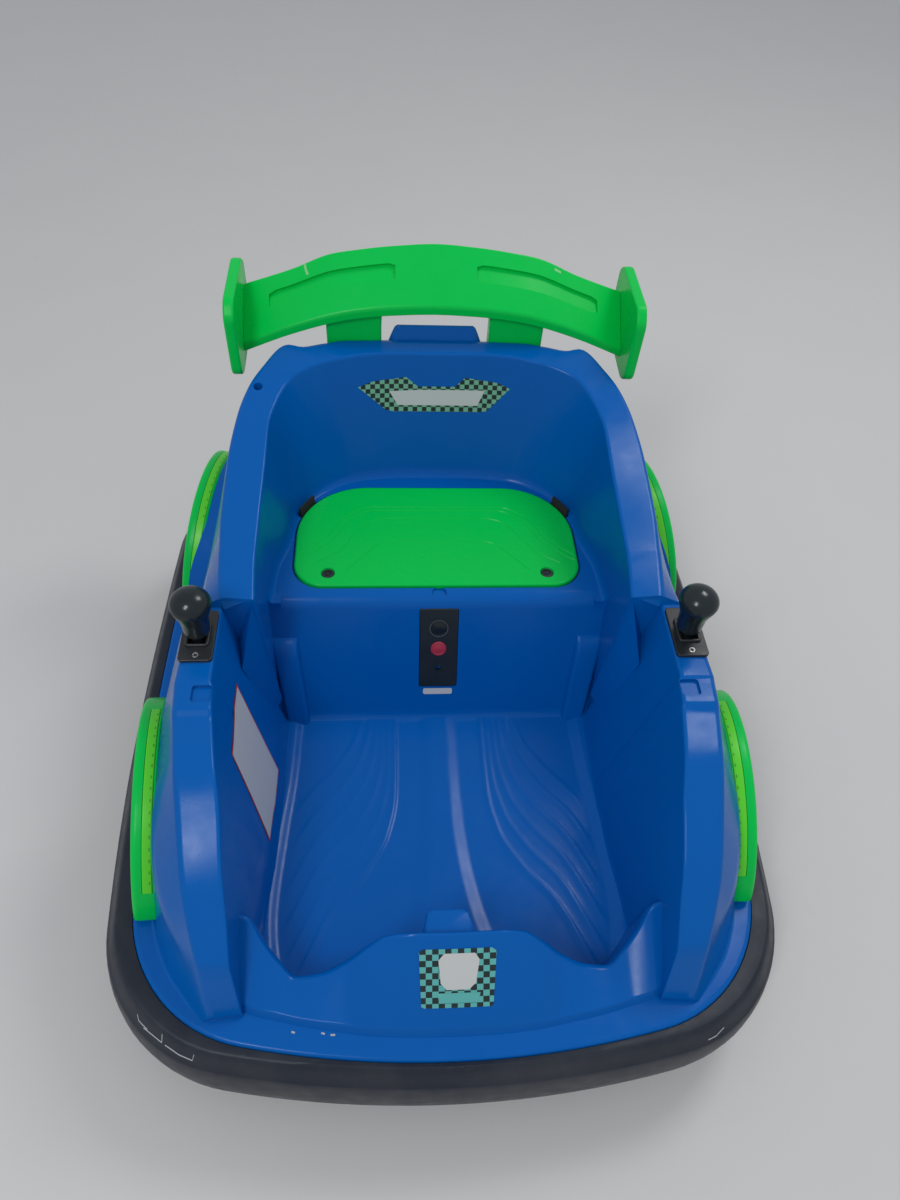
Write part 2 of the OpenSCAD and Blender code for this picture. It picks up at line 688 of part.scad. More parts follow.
// Drive
hub_r = wheel_r - tyre_t;
gearbox_l = 76;
gearbox_h = 68;
motor_r = 18;
motor_l = 42;
spoke_t = 4;
module gearbox() {
    color(grey) difference() {
        union() {
            translate([gearbox_face_x - gearbox_w, axle_y - 16, base_z])
                cube([gearbox_w, gearbox_l, gearbox_h]);
            translate([gearbox_face_x - gearbox_w - motor_l / 2 + 1, axle_y + 24, wheel_r + 36])
                bar_x(motor_r, motor_l);
        }
        translate([gearbox_face_x - gearbox_w / 2, axle_y, wheel_r]) bar_x(axle_r + run, gearbox_w + 2);
    }
}
module drive_axle() {
    x0 = gearbox_face_x - gearbox_w - 2;
    x1 = track / 2 + wheel_w / 2 + 4;
    color("silver") translate([(x0 + x1) / 2, axle_y, wheel_r]) bar_x(axle_r, x1 - x0);
}
module drive_hub() {
    color(grey) translate([track / 2, axle_y, wheel_r]) rotate([0, 90, 0]) difference() {
        union() {
            difference() {
                cylinder(r = hub_r, h = wheel_w, center = true, $fn = 96);
                for (e = [-1, 1]) translate([0, 0, e * wheel_w / 2])
                    cylinder(r = hub_r - 5, h = wheel_w - 10, center = true);
            }
            cylinder(r = 12, h = wheel_w + 2, center = true);
            for (i = [0:5]) rotate([0, 0, 60 * i]) translate([6, -spoke_t / 2, -wheel_w / 2 + 4])
                cube([hub_r - 9, spoke_t, wheel_w - 8]);
        }
        cylinder(r = axle_r + run, h = wheel_w + 6, center = true);
    }
}
module drive_tyre() {
    color(black) translate([track / 2, axle_y, wheel_r]) rotate([0, 90, 0]) rotate_extrude($fn = 96)
        polygon([[hub_r + 0.02, -wheel_w / 2], [wheel_r - 3, -wheel_w / 2], [wheel_r, -wheel_w / 2 + 4],
                 [wheel_r, wheel_w / 2 - 4], [wheel_r - 3, wheel_w / 2], [hub_r + 0.02, wheel_w / 2]]);
}
module gearbox_left() { gearbox(); }
module gearbox_right() { mirror([1, 0, 0]) gearbox(); }
module drive_axle_left() { drive_axle(); }
module drive_axle_right() { mirror([1, 0, 0]) drive_axle(); }
module drive_hub_left() { drive_hub(); }
module drive_hub_right() { mirror([1, 0, 0]) drive_hub(); }
module drive_tyre_left() { drive_tyre(); }
module drive_tyre_right() { mirror([1, 0, 0]) drive_tyre(); }

// Casters
module caster_mount() {
    color(grey) {
        translate([0, 0, mount_z - mount_t]) cylinder(r = mount_r, h = mount_t);
        translate([0, 0, fork_top_z - fork_t - 3])
            cylinder(r = swivel_r, h = mount_z - fork_top_z + fork_t + 2);
        translate([0, 0, fork_top_z - fork_t - 4]) cylinder(r = swivel_r + 2, h = 3.5);
    }
}
module caster_fork() {
    leg_x = caster_w / 2 + leg_gap;
    low = caster_z - 7;
    color(black) difference() {
        union() {
            translate([0, 0, fork_top_z - fork_t]) cylinder(r = 17, h = fork_t);
            for (e = [-1, 1]) translate([e > 0 ? leg_x : -leg_x - leg_t, 0, 0])
                rotate([90, 0, 90]) linear_extrude(leg_t)
                    polygon([[-11, fork_top_z], [11, fork_top_z], [caster_trail + 7, caster_z],
                             [caster_trail + 4, low], [caster_trail - 4, low],
                             [caster_trail - 7, caster_z]]);
        }
        translate([0, 0, fork_top_z - fork_t - 1]) cylinder(r = swivel_r + run, h = fork_t + 2);
        translate([0, caster_trail, caster_z]) bar_x(caster_axle_r + run, 2 * leg_x + 2 * leg_t + 2);
    }
}
module caster_axle() {
    l = caster_w + 2 * leg_gap + 2 * leg_t + 4;
    color("silver") translate([0, caster_trail, caster_z]) {
        bar_x(caster_axle_r, l);
        for (e = [-1, 1]) translate([e * (l / 2 - 0.5), 0, 0]) bar_x(caster_axle_r + 1.5, 1.5);
    }
}
module caster_wheel() {
    w = caster_w / 2;
    boss_r = 8;
    bore_r = caster_axle_r + run;
    color(grey) translate([0, caster_trail, caster_z]) rotate([0, 90, 0]) rotate_extrude($fn = 72)
        polygon([[bore_r, -w - 0.5], [boss_r, -w - 0.5], [boss_r, -w + 2], [caster_r - 6, -w + 2],
                 [caster_r - 4, -w], [caster_r, -w + 4], [caster_r, w - 4], [caster_r - 4, w],
                 [caster_r - 6, w - 2], [boss_r, w - 2], [boss_r, w + 0.5], [bore_r, w + 0.5]]);
}
module at_front() { translate([0, -caster_y, 0]) children(); }
module at_rear() { translate([0, caster_y, 0]) rotate([0, 0, 180]) children(); }
module caster_mount_front() { at_front() caster_mount(); }
module caster_mount_rear() { at_rear() caster_mount(); }
module caster_fork_front() { at_front() caster_fork(); }
module caster_fork_rear() { at_rear() caster_fork(); }
module caster_axle_front() { at_front() caster_axle(); }
module caster_axle_rear() { at_rear() caster_axle(); }
module caster_wheel_front() { at_front() caster_wheel(); }
module caster_wheel_rear() { at_rear() caster_wheel(); }

tub();
bumper_ring();
base_pan();
seat_lid();
lid_screws();
belt_webbing();
battery();
control_panel();
sound_button();
power_button();
wing();
wing_plate_left();
wing_plate_right();
fender_front_left();
fender_front_right();
fender_rear_left();
fender_rear_right();
strip_front_left();
strip_front_right();
strip_rear_left();
strip_rear_right();
lever_base_left();
lever_base_right();
lever_left();
lever_right();
knob_left();
knob_right();
gearbox_left();
gearbox_right();
drive_axle_left();
drive_axle_right();
drive_hub_left();
drive_hub_right();
drive_tyre_left();
drive_tyre_right();
caster_mount_front();
caster_mount_rear();
caster_fork_front();
caster_fork_rear();
caster_axle_front();
caster_axle_rear();
caster_wheel_front();
caster_wheel_rear();
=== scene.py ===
import math
from collections import namedtuple

import bmesh
import bpy
import numpy as np
from mathutils import Matrix, Vector
from mathutils.bvhtree import BVHTree


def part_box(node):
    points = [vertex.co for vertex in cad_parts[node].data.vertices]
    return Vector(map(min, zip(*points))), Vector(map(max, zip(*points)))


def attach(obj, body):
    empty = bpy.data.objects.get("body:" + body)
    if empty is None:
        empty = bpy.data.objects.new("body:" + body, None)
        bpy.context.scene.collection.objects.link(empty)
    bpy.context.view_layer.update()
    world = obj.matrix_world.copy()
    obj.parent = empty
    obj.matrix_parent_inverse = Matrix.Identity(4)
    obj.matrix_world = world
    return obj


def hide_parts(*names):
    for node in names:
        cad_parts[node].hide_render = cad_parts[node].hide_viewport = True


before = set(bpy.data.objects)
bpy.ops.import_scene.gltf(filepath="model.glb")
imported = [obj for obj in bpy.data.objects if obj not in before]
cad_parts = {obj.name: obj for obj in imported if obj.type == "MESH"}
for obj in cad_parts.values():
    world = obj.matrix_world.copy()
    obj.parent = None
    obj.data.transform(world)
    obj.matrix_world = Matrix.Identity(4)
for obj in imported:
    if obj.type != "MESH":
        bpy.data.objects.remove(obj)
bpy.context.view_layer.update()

MM = 0.001
# Sizes the tables are drawn at: half width, half length, rim and top above the flange
DRAWN_W, DRAWN_L, DRAWN_RIM, DRAWN_TOP = 316, 379, 246, 261
# Bumper's top to flange, floor over the caster mounts, lid's top over the deck, underside to the walls
BUMPER_STEP, FLOOR_T, LID_PROUD, WALL_START = 1, 4.3, 3, 8
# Play round a piece that is set into another
PLAY = 0.3


# Sizes, in millimetres, read from the frame
def low(node, k):
    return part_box(node)[0][k] / MM


def high(node, k):
    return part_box(node)[1][k] / MM


def middle(node, k):
    return (high(node, k) + low(node, k)) / 2


half_w = high("tub", 0)
half_l = high("tub", 1)
base_z = low("tub", 2)
flange_z = high("bumper_ring", 2) + BUMPER_STEP
rim_z = flange_z + (high("tub", 2) - flange_z) * DRAWN_RIM / DRAWN_TOP
floor_z = high("caster_mount_front", 2) + FLOOR_T
deck_z = high("seat_lid", 2) - LID_PROUD
wall_low = base_z + WALL_START


def sx(x):
    return x * half_w / DRAWN_W


def sy(y):
    return y * half_l / DRAWN_L


def sz(z):
    return flange_z + z * (rim_z - flange_z) / DRAWN_RIM


# Mesh helpers
def new_object(name, data):
    ob = bpy.data.objects.new(name, data)
    bpy.context.scene.collection.objects.link(ob)
    return ob


def discard(ob):
    data = ob.data
    bpy.data.objects.remove(ob)
    bpy.data.meshes.remove(data)


def mesh_of(verts, faces, name="piece"):
    mesh = bpy.data.meshes.new(name)
    mesh.from_pydata([(p[0] * MM, p[1] * MM, p[2] * MM) for p in verts], [], faces)
    return new_object(name, mesh)


def outward(ob, merge=False):
    bm = bmesh.new()
    bm.from_mesh(ob.data)
    if merge:
        bmesh.ops.remove_doubles(bm, verts=bm.verts, dist=1e-6)
    bmesh.ops.triangulate(bm, faces=[f for f in bm.faces if len(f.verts) > 4])
    bmesh.ops.recalc_face_normals(bm, faces=bm.faces)
    bm.to_mesh(ob.data)
    bm.free()
    return ob


def loft(rings, closed=False):
    rows, cols = len(rings), len(rings[0])
    faces = []
    for i in range(rows if closed else rows - 1):
        k = (i + 1) % rows
        for j in range(cols):
            b = (j + 1) % cols
            faces.append((i * cols + j, i * cols + b, k * cols + b, k * cols + j))
    if not closed:
        faces.append(tuple(range(cols))[::-1])
        faces.append(tuple((rows - 1) * cols + j for j in range(cols)))
    return outward(mesh_of([p for r in rings for p in r], faces))


def lift(pts, z):
    return [(x, y, z) for x, y in pts]


def prism(pts, z0, z1):
    return loft([lift(pts, z0), lift(pts, z1)])


# Block about a centre x, y, with half its width and depth
def solid_box(x, y, w, d, z0, z1):
    return prism([(x - w, y - d), (x + w, y - d), (x + w, y + d), (x - w, y + d)], z0, z1)


def tube(a, b, r0, r1, n=32):
    a, b = Vector(a), Vector(b)
    d = (b - a).normalized()
    u = d.orthogonal().normalized()
    v = d.cross(u)
    rings = []
    for c, r in ((a, r0), (b, r1)):
        rings.append([c + (u * math.cos(t) + v * math.sin(t)) * r
                      for t in (2 * math.pi * i / n for i in range(n))])
    return loft(rings)


def spin(profile, centre, n=48):
    rings = []
    for i in range(n):
        t = 2 * math.pi * i / n
        c, s = math.cos(t), math.sin(t)
        rings.append([(r * c + centre[0], r * s + centre[1], h + centre[2]) for r, h in profile])
    return outward(loft(rings, closed=True), merge=True)


def run_boolean(ob, others, op):
    for other in others:
        mod = ob.modifiers.new("cut", "BOOLEAN")
        mod.operation = op
        mod.solver = "MANIFOLD"
        mod.object = other
    deps = bpy.context.evaluated_depsgraph_get()
    mesh = bpy.data.meshes.new_from_object(ob.evaluated_get(deps))
    ob.modifiers.clear()
    old = ob.data
    ob.data = mesh
    bpy.data.meshes.remove(old)
    for other in others:
        discard(other)
    return ob


def union(ob, *others):
    return run_boolean(ob, others, "UNION")


def difference(ob, *others):
    return run_boolean(ob, others, "DIFFERENCE")


def mirror_x(ob):
    mesh = ob.data.copy()
    mesh.transform(Matrix.Scale(-1, 4, (1, 0, 0)))
    mesh.flip_normals()
    return new_object("mirrored", mesh)


def both(make_one):
    left = make_one()
    return left, mirror_x(left)


# What is made on the left goes to its own side: 1 is left, -1 is right
def sided(ob, side):
    if side > 0:
        return ob
    new = mirror_x(ob)
    discard(ob)
    return new


def placed(ob, matrix):
    m = matrix.copy()
    m.translation = matrix.translation * MM
    ob.data.transform(m)
    return ob


def dress(ob, name, mat, replaces=(), degrees=38, body="chassis"):
    ob.name = name
    ob.data.materials.clear()
    ob.data.materials.append(mat)
    for p in ob.data.polygons:
        p.use_smooth = True
    ob.data.set_sharp_from_angle(angle=math.radians(degrees))
    mod = ob.modifiers.new("normals", "WEIGHTED_NORMAL")
    mod.keep_sharp = True
    mod.mode = "FACE_AREA_WITH_ANGLE"
    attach(ob, body)
    if replaces:
        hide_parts(*replaces)


# Curves
def monotone(xs, ys, x):
    x = np.asarray(x, float)
    h = np.diff(xs)[:, None]
    d = np.diff(ys, axis=0) / h
    m = np.zeros_like(ys)
    if len(xs) > 2:
        w1, w2 = 2 * h[1:] + h[:-1], h[1:] + 2 * h[:-1]
        same = d[:-1] * d[1:] > 0
        safe0, safe1 = np.where(same, d[:-1], 1), np.where(same, d[1:], 1)
        m[1:-1] = np.where(same, (w1 + w2) / (w1 / safe0 + w2 / safe1), 0)
    m[0], m[-1] = d[0], d[-1]
    i = np.clip(np.searchsorted(xs, x) - 1, 0, len(xs) - 2)
    t = ((x - xs[i]) / (xs[i + 1] - xs[i]))[:, None]
    hh = (xs[i + 1] - xs[i])[:, None]
    return ((2 * t**3 - 3 * t**2 + 1) * ys[i] + (t**3 - 2 * t**2 + t) * hh * m[i]
            + (-2 * t**3 + 3 * t**2) * ys[i + 1] + (t**3 - t**2) * hh * m[i + 1])


# A cut corner takes at most this share of the edges beside it
MOST_OF_EDGE = 0.47


def rounded(points, cuts, steps):
    points = [Vector(p) for p in points]
    out = []
    last = len(points) - 1
    for i, p in enumerate(points):
        if i in (0, last) or not cuts[i]:
            out.append(p)
            continue
        a, b = points[i - 1] - p, points[i + 1] - p
        d0, d1 = [min(cuts[i], MOST_OF_EDGE * edge.length) for edge in (a, b)]
        a, b = p + a.normalized() * d0, p + b.normalized() * d1
        for k in range(steps + 1):
            t = k / steps
            out.append(a * (1 - t) ** 2 + p * (2 * t * (1 - t)) + b * t * t)
    return out


def arc(c, r, a0, a1, n):
    turns = [math.radians(a0 + (a1 - a0) * i / n) for i in range(n + 1)]
    return [(c[0] + r * math.cos(t), c[1] + r * math.sin(t)) for t in turns]


# A rounded edge: inset and rise of each step from the side to the top
def soft_edge(soft, steps):
    turns = [math.radians(90 * k / steps) for k in range(steps + 1)]
    return [(soft * (1 - math.cos(a)), soft * math.sin(a)) for a in turns]


def round_box(w, l, r, n=6, at=(0, 0)):
    out = []
    for cx, cy, a in ((1, 1, 0), (-1, 1, 90), (-1, -1, 180), (1, -1, 270)):
        out += arc((at[0] + cx * (w / 2 - r), at[1] + cy * (l / 2 - r)), r, a, a + 90, n)
    return out


def soft_slab(w, l, r, z0, z1, soft, at):
    rings = [lift(round_box(w, l, r, 8, at), z0)]
    for inset, rise in soft_edge(soft, 4):
        d = 2 * inset
        rings.append(lift(round_box(w - d, l - d, max(0.3, r - d / 2), 8, at), z1 - soft + rise))
    return loft(rings)


# Radii of a quarter's corner, side and end, at the front and at the rear
FLANGE_EDGE = ((142, 1800, 930), (100, 6000, 1100))
BUMPER_EDGE = ((148, 2800, 1100), (118, 6000, 1100))


def quarter(w, l, curve, inset):
    r, side, end = curve[0] - inset, curve[1], curve[2]
    s, e = np.array([w - side, 0.0]), np.array([0.0, l - end])
    ds, de, d = side - r, end - r, e - s
    q = np.linalg.norm(d)
    t = (ds * ds - de * de + q * q) / (2 * q)
    h = math.sqrt(ds * ds - t * t)
    c = s + (d * t + np.array([-d[1], d[0]]) * h) / q
    a0 = math.degrees(math.atan2(c[1], c[0] - w + side))
    a1 = math.degrees(math.atan2(c[1] - l + end, c[0]))
    return arc(s, side, 0, a0, 8)[:-1] + arc(c, r, a0, a1, 16) + arc(e, end, a1, 90, 10)[1:]


def outline(w, l, curves, inset=0):
    f, b = [quarter(w, l, curve, inset / 2) for curve in curves]
    pts = b + [(-x, y) for x, y in b[::-1]] + [(-x, -y) for x, y in f] + [(x, -y) for x, y in f[::-1]]
    out = []
    for p in pts:
        if not out or math.dist(out[-1], p) > 1e-3:
            out.append(p)
    if math.dist(out[0], out[-1]) < 1e-3:
        out.pop()
    return out


def blend01(t):
    t = np.clip(t, 0, 1)
    return t * t * (3 - 2 * t)


# Materials
# Tone is the drift of the brightness, grain the strength of the fine bumps, specks and scratches that of
# the pale marks, and dust the most grey on the surface
def plastic(name, color, rough, tone=0.06, grain=0.0, grain_size=900, specks=0.0, scratches=0.0, dust=0.0,
            spec=0.5):
    mat = bpy.data.materials.new(name)
    mat.use_nodes = True
    tree = mat.node_tree
    link = tree.links.new
    bsdf = tree.nodes["Principled BSDF"]
    bsdf.inputs["Specular IOR Level"].default_value = spec

    def add(kind, **inputs):
        n = tree.nodes.new("ShaderNode" + kind)
        for k, v in inputs.items():
            if k in n.inputs:
                n.inputs[k].default_value = v
            else:
                setattr(n, k, v)
        return n

    def noise(where, **inputs):
        n = add("TexNoise", **inputs)
        link(where, n.inputs["Vector"])
        return n.outputs["Fac"]

    def spread(value, from_min, from_max, to_min=0.0, to_max=1.0):
        n = add("MapRange", **{"From Min": from_min, "From Max": from_max, "To Min": to_min,
                               "To Max": to_max})
        link(value, n.inputs["Value"])
        return n.outputs["Result"]

    def maths(operation, a, b):
        n = add("Math", operation=operation)
        link(a, n.inputs[0])
        if isinstance(b, float):
            n.inputs[1].default_value = b
        else:
            link(b, n.inputs[1])
        return n.outputs[0]

    def covered(under, amount, over):
        n = add("Mix", data_type="RGBA")
        n.inputs[7].default_value = (*over, 1)
        link(amount, n.inputs[0])
        link(under, n.inputs[6])
        return n.outputs[2]

    at = add("TexCoord").outputs["Object"]
    tint = add("HueSaturation", Color=(*color, 1))
    link(spread(noise(at, Scale=5.0, Detail=4.0), 0, 1, 1 - tone, 1 + tone), tint.inputs["Value"])
    col = tint.outputs["Color"]
    fine = noise(at, Scale=60.0, Detail=5.0)
    link(spread(fine, 0.3, 0.7, rough - 0.05, rough + 0.07), bsdf.inputs["Roughness"])
    if specks:
        spots = add("TexVoronoi", Scale=42.0, Randomness=1.0)
        link(at, spots.inputs["Vector"])
        near = spread(spots.outputs["Distance"], 0.05, 0.03)
        some = spread(noise(at, Scale=9.0, Detail=2.0), 0.6, 0.68)
        marks = maths("MULTIPLY", maths("MULTIPLY", near, some), specks)
        if scratches:
            warp = add("Mapping", Rotation=(0.4, 0.9, 0.6), Scale=(3.0, 34.0, 3.0))
            link(at, warp.inputs["Vector"])
            lines = noise(warp.outputs["Vector"], Scale=7.0, Detail=6.0, Roughness=0.7)
            marks = maths("MAXIMUM", marks, maths("MULTIPLY", spread(lines, 0.66, 0.72), scratches))
        col = covered(col, marks, [0.75 * c + 0.25 for c in color])
    if dust:
        cloud = noise(at, Scale=14.0, Detail=8.0, Roughness=0.65)
        col = covered(col, spread(cloud, 0.4, 0.8, 0.0, dust), (0.23, 0.23, 0.22))
    link(col, bsdf.inputs["Base Color"])
    if grain:
        bump = add("Bump", Strength=grain, Distance=0.0004)
        link(noise(at, Scale=float(grain_size), Detail=3.0), bump.inputs["Height"])
        link(bump.outputs["Normal"], bsdf.inputs["Normal"])
    return mat


tub_mat = plastic("tub_plastic", (0.0, 0.105, 0.42), 0.2, 0.07, 0.10, 700, 0.3, spec=0.15)
green_mat = plastic("green_plastic", (0.0, 0.56, 0.075), 0.28, 0.06, 0.1, 700, 0.25, spec=0.15)
strip_mat = plastic("light_strip", (0.11, 0.68, 0.03), 0.3, 0.12, spec=0.25)
bumper_mat = plastic("bumper_rubber", (0.013, 0.018, 0.03), 0.42, 0.12, 0.2, 900, 0.5, 0.25, 0.1, 0.3)
pan_mat = plastic("pan_plastic", (0.03, 0.031, 0.034), 0.6, 0.1, 0.35, 500, dust=0.25)
black_mat = plastic("black_plastic", (0.011, 0.014, 0.017), 0.36, 0.1, 0.25, dust=0.08)
knob_mat = plastic("knob_plastic", (0.008, 0.014, 0.018), 0.2, 0.1, dust=0.05, spec=0.4)
panel_mat = plastic("panel_plastic", (0.008, 0.014, 0.018), 0.42, 0.1, 0.2)
red_mat = plastic("red_plastic", (0.42, 0.03, 0.06), 0.35, 0.1)
web_mat = plastic("webbing", (0.014, 0.014, 0.016), 0.85, 0.15)
gearbox_mat = plastic("gearbox_plastic", (0.09, 0.09, 0.10), 0.5, 0.1, 0.25, 600, dust=0.2)
wheel_mat = plastic("wheel_plastic", (0.05, 0.05, 0.055), 0.45, 0.1, 0.2, 700, dust=0.3)
tyre_mat = plastic("tyre_rubber", (0.018, 0.018, 0.019), 0.72, 0.15, 0.3, 600, dust=0.5)
steel_mat = plastic("steel", (0.50, 0.51, 0.53), 0.32, 0.05)
steel_mat.node_tree.nodes["Principled BSDF"].inputs["Metallic"].default_value = 1.0
label_mat = plastic("label_white", (0.55, 0.56, 0.55), 0.45, 0.05)
label_edge_mat = plastic("label_red", (0.45, 0.03, 0.02), 0.45, 0.05)
check_dark_mat = plastic("check_dark", (0.004, 0.018, 0.018), 0.38, 0.1)
check_teal_mat = plastic("check_teal", (0.10, 0.42, 0.40), 0.38, 0.1)
check_green_mat = plastic("check_green", (0.16, 0.42, 0.27), 0.38, 0.1)
scuff_mat = plastic("scuff_pale", (0.42, 0.43, 0.45), 0.6)
wing_scuff_mat = plastic("scuff_green", (0.20, 0.62, 0.22), 0.6)
lens_mat = plastic("strip_marks", (0.05, 0.30, 0.02), 0.4, 0.1)
# Finishes of the nodes that no piece below replaces, by the start of their names
FINISH = (
    (pan_mat, ("base_pan", "battery")), (gearbox_mat, ("gearbox",)), (black_mat, ("caster_fork",)),
    (steel_mat, ("drive_axle", "caster_mount", "caster_axle")), (tyre_mat, ("drive_tyre",)),
    (wheel_mat, ("drive_hub", "caster_wheel")))
for name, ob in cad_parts.items():
    for mat, starts in FINISH:
        if name.startswith(starts):
            for s in ob.material_slots:
                s.material = mat


# Tub wall, from the left pod's front to the middle of the seat's back, mirrored for the right side.
# Columns: foot x, y; shoulder x, y, z; outer edge x, y, z; inner edge x, y, z; inner foot x, y;
# and 1 where the row is level with the deck
WALL = [
    [222, -339, 218, -339, 6, 214, -338, 9, 187, -336, 9, 186, -335, 0],
    [240, -318, 226, -315, 45, 220, -313, 64, 193, -314, 63, 187, -314, 0],
    [257, -297, 238, -292, 60, 226, -289, 88, 195, -284, 92, 185, -285, 0],
    [273, -264, 256, -262, 75, 231, -262, 111, 198, -257, 115, 183, -257, 0],
    [284, -224, 268, -220, 88, 237, -218, 136, 202, -211, 140, 180, -213, 0],
    [290, -175, 275, -170, 95, 244, -169, 154, 209, -170, 154, 176, -170, 0],
    [292, -128, 276, -128, 98, 250, -129, 157.5, 216, -126, 157.5, 174, -126, 0],
    [293, -119, 276, -119, 99, 251, -119, 161.5, 217, -119, 161.5, 173, -119, 0],
    [293, -94, 276, -94, 103, 253, -94, 161.5, 219, -94, 161.5, 173, -94, 0],
    [293, -90, 276, -90, 106, 253, -90, 163, 221, -90, 163, 173, -90, 0],
    [293, -2, 272, -2, 110, 250, -2, 163, 221, -2, 163, 174, -2, 0],
    [293, 2, 248, 2, 152, 221, 2, 173, 189, 2, 170, 180, 2, 0],
    [292, 45, 248, 45, 142, 226, 45, 181, 191, 45, 180, 183, 47, 0],
    [291.5, 57.5, 248, 57.5, 141, 226.7, 57.5, 184, 191, 57.5, 183, 184, 59, 0],
    [291.5, 58, 248, 58, 141, 226.7, 58, 184, 191, 58, 183, 188, 59.5, 1],
    [290, 100, 248, 100, 136, 229, 100, 194, 190, 100, 192, 185, 105, 1],
    [289, 165, 247, 165, 138, 228, 165, 209, 188, 160, 208, 172, 152, 1],
    [287, 230, 243, 228, 152, 222, 225, 224, 187, 212, 221, 162, 206, 1],
    [284, 290, 234, 278, 168, 213, 263, 233, 180, 247, 228, 144, 232, 1],
    [264, 332, 216, 322, 190, 198, 295, 240, 163, 281, 237, 118, 251, 1],
    [222, 345, 190, 344, 214, 172, 328, 247, 132, 299, 242, 92, 262, 1],
    [200, 350, 160, 349, 222, 156, 324.5, 246, 122, 302, 243, 84, 263.5, 1],
    [165, 356, 135, 354, 228, 130, 328.5, 248, 106, 306.5, 244, 72, 265.5, 1],
    [130, 361, 112, 358, 232, 110, 334, 248, 92, 310, 245, 60, 267, 1],
    [60, 364, 56, 360, 234, 56, 336, 248, 46, 314, 246, 30, 269, 1]]
X_COLUMNS = [0, 2, 5, 8, 11]
# First row, last row and steps of each stretch in front of the seat, then the rest's first row and steps
STRETCHES = [[0, 1, 4], [1, 6, 42], [6, 7, 4], [7, 8, 4], [8, 9, 4], [9, 10, 8], [10, 11, 4]]
BACK = 11
BACK_STEPS = 160
# Radius at the wall's inner foot, and how far its outer foot stands out on the flange
toe, skirt = 13, 9


def respaced(rows, extra, steps):
    at = np.concatenate([[0], np.cumsum(np.linalg.norm(np.diff(rows[:, 5:7], axis=0), axis=1) + extra)])
    return monotone(at, rows, np.linspace(0, at[-1], steps + 1))


def flipped(rows):
    out = rows[::-1].copy()
    out[:, X_COLUMNS] *= -1
    return out


def dense_rows():
    rows = np.array(WALL, float)
    left = [respaced(rows[first:last + 1], 6, n) for first, last, n in STRETCHES]
    back = respaced(np.concatenate([rows[BACK:], flipped(rows[BACK:])]), 3, BACK_STEPS)
    out = []
    for group in left + [back] + [flipped(g) for g in left[::-1]]:
        out.extend(group if not out else group[1:])
    return out


def wall_section(s):
    on_deck = s[13] > 0.5
    level = deck_z if on_deck else floor_z
    foot = Vector((sx(s[0]), sy(s[1]), flange_z))
    p1, p2, p3 = [Vector((sx(s[k]), sy(s[k + 1]), sz(s[k + 2]))) for k in (2, 5, 8)]
    end = Vector((sx(s[11]), sy(s[12]), sz(85 if on_deck else -52)))
    inner = p3.lerp(end, min(1.0, (level - p3.z) / (end.z - p3.z)))
    inner.z = level
    away = Vector((foot.x - p1.x, foot.y - p1.y, 0))
    away = away.normalized() if away.length > 1 else Vector((math.copysign(1, s[0]), 0, 0))
    toward = Vector((end.x - p2.x, end.y - p2.y, 0)).normalized()
    out = foot + away * skirt * min(1, max(0.05, (p1.z - flange_z) / 40))
    under = inner + toward * max(0.5, min(toe, (p3.z - level) * 0.4))
    pts = [Vector((out.x, out.y, wall_low)), Vector((out.x, out.y, flange_z - 0.3)), foot, p1, p2, p3, inner,
           under + Vector((0, 0, -0.4)), under + Vector((0, 0, wall_low - level))]
    return rounded(pts, [0, 0, 8, 9, 4.5, 3.5, toe, 0, 0], 6)


def tub_wall():
    return loft([wall_section(s) for s in dense_rows()])


# Nose from its middle to inside the left pod: x; top edge y, z; front foot y
NOSE = [
    [0, -293, 70, -360], [34, -292.5, 69.5, -359.5], [61, -291, 61, -358], [80, -295, 45, -356],
    [98, -300, 26, -353], [122, -305, 12, -349], [142, -306, 8.5, -345], [158, -294, 16, -341],
    [172, -280, 32, -338], [184, -266, 50, -334], [205, -262, 52, -328]]
NOSE_HALF_W = 205
NOSE_COLUMNS = 123
nose_step = 6.5


def tub_nose():
    table = np.array(NOSE, float)
    table = np.concatenate([table[::-1] * [-1, 1, 1, 1], table[1:]])
    xs = np.linspace(-NOSE_HALF_W, NOSE_HALF_W, NOSE_COLUMNS)
    rings = []
    for x, (ty, tz, fy) in zip(xs, monotone(table[:, 0], table[:, 1:], xs)):
        x, y, front, top = sx(x), sy(ty), sy(fy), sz(tz)
        pts = [(x, y + 14, wall_low), (x, y + 14, floor_z + 1), (x, y + 4, top - 12), (x, y, top),
               (x, front + 5, flange_z + nose_step), (x, front, flange_z - 0.4), (x, front, wall_low)]
        rings.append(rounded(pts, [0, 10, 6, 5, 1.5, 0, 0], 5))
    return loft(rings)


# The seat box's front leans back from its foot
wall_foot_y = sy(6)
wall_tilt = math.radians(22.8)


def wall_y(z):
    return wall_foot_y + (z - floor_z) * math.tan(wall_tilt)


def seat_box():
    x = sx(196)
    mid = (deck_z + floor_z) / 2
    pts = [(0, wall_foot_y - 14, wall_low), (0, wall_foot_y - 14, floor_z - 0.4), (0, wall_foot_y, floor_z),
           (0, wall_y(mid), mid), (0, wall_y(deck_z), deck_z), (0, sy(300), deck_z), (0, sy(300), wall_low)]
    side = rounded(pts, [0, 0, 13, 0, 14, 0, 0], 8)
    return loft([[(e * x, p.y, p.z) for p in side] for e in (-1, 1)])


# Floor: the spine's half widths, the first ridge and the ledge, each as y and x
SPINE = [[-300, 52], [-262, 42], [-225, 31], [-170, 21], [-120, 17], [-60, 16], [30, 16]]
RIDGE = [[-300, 152], [-275, 140], [-221, 114], [-182, 82], [-143, 61], [-96, 52], [-40, 51], [30, 51]]
LEDGE = [[-300, 150], [-265, 164], [-225, 168], [-140, 163], [-70, 157], [30, 154]]


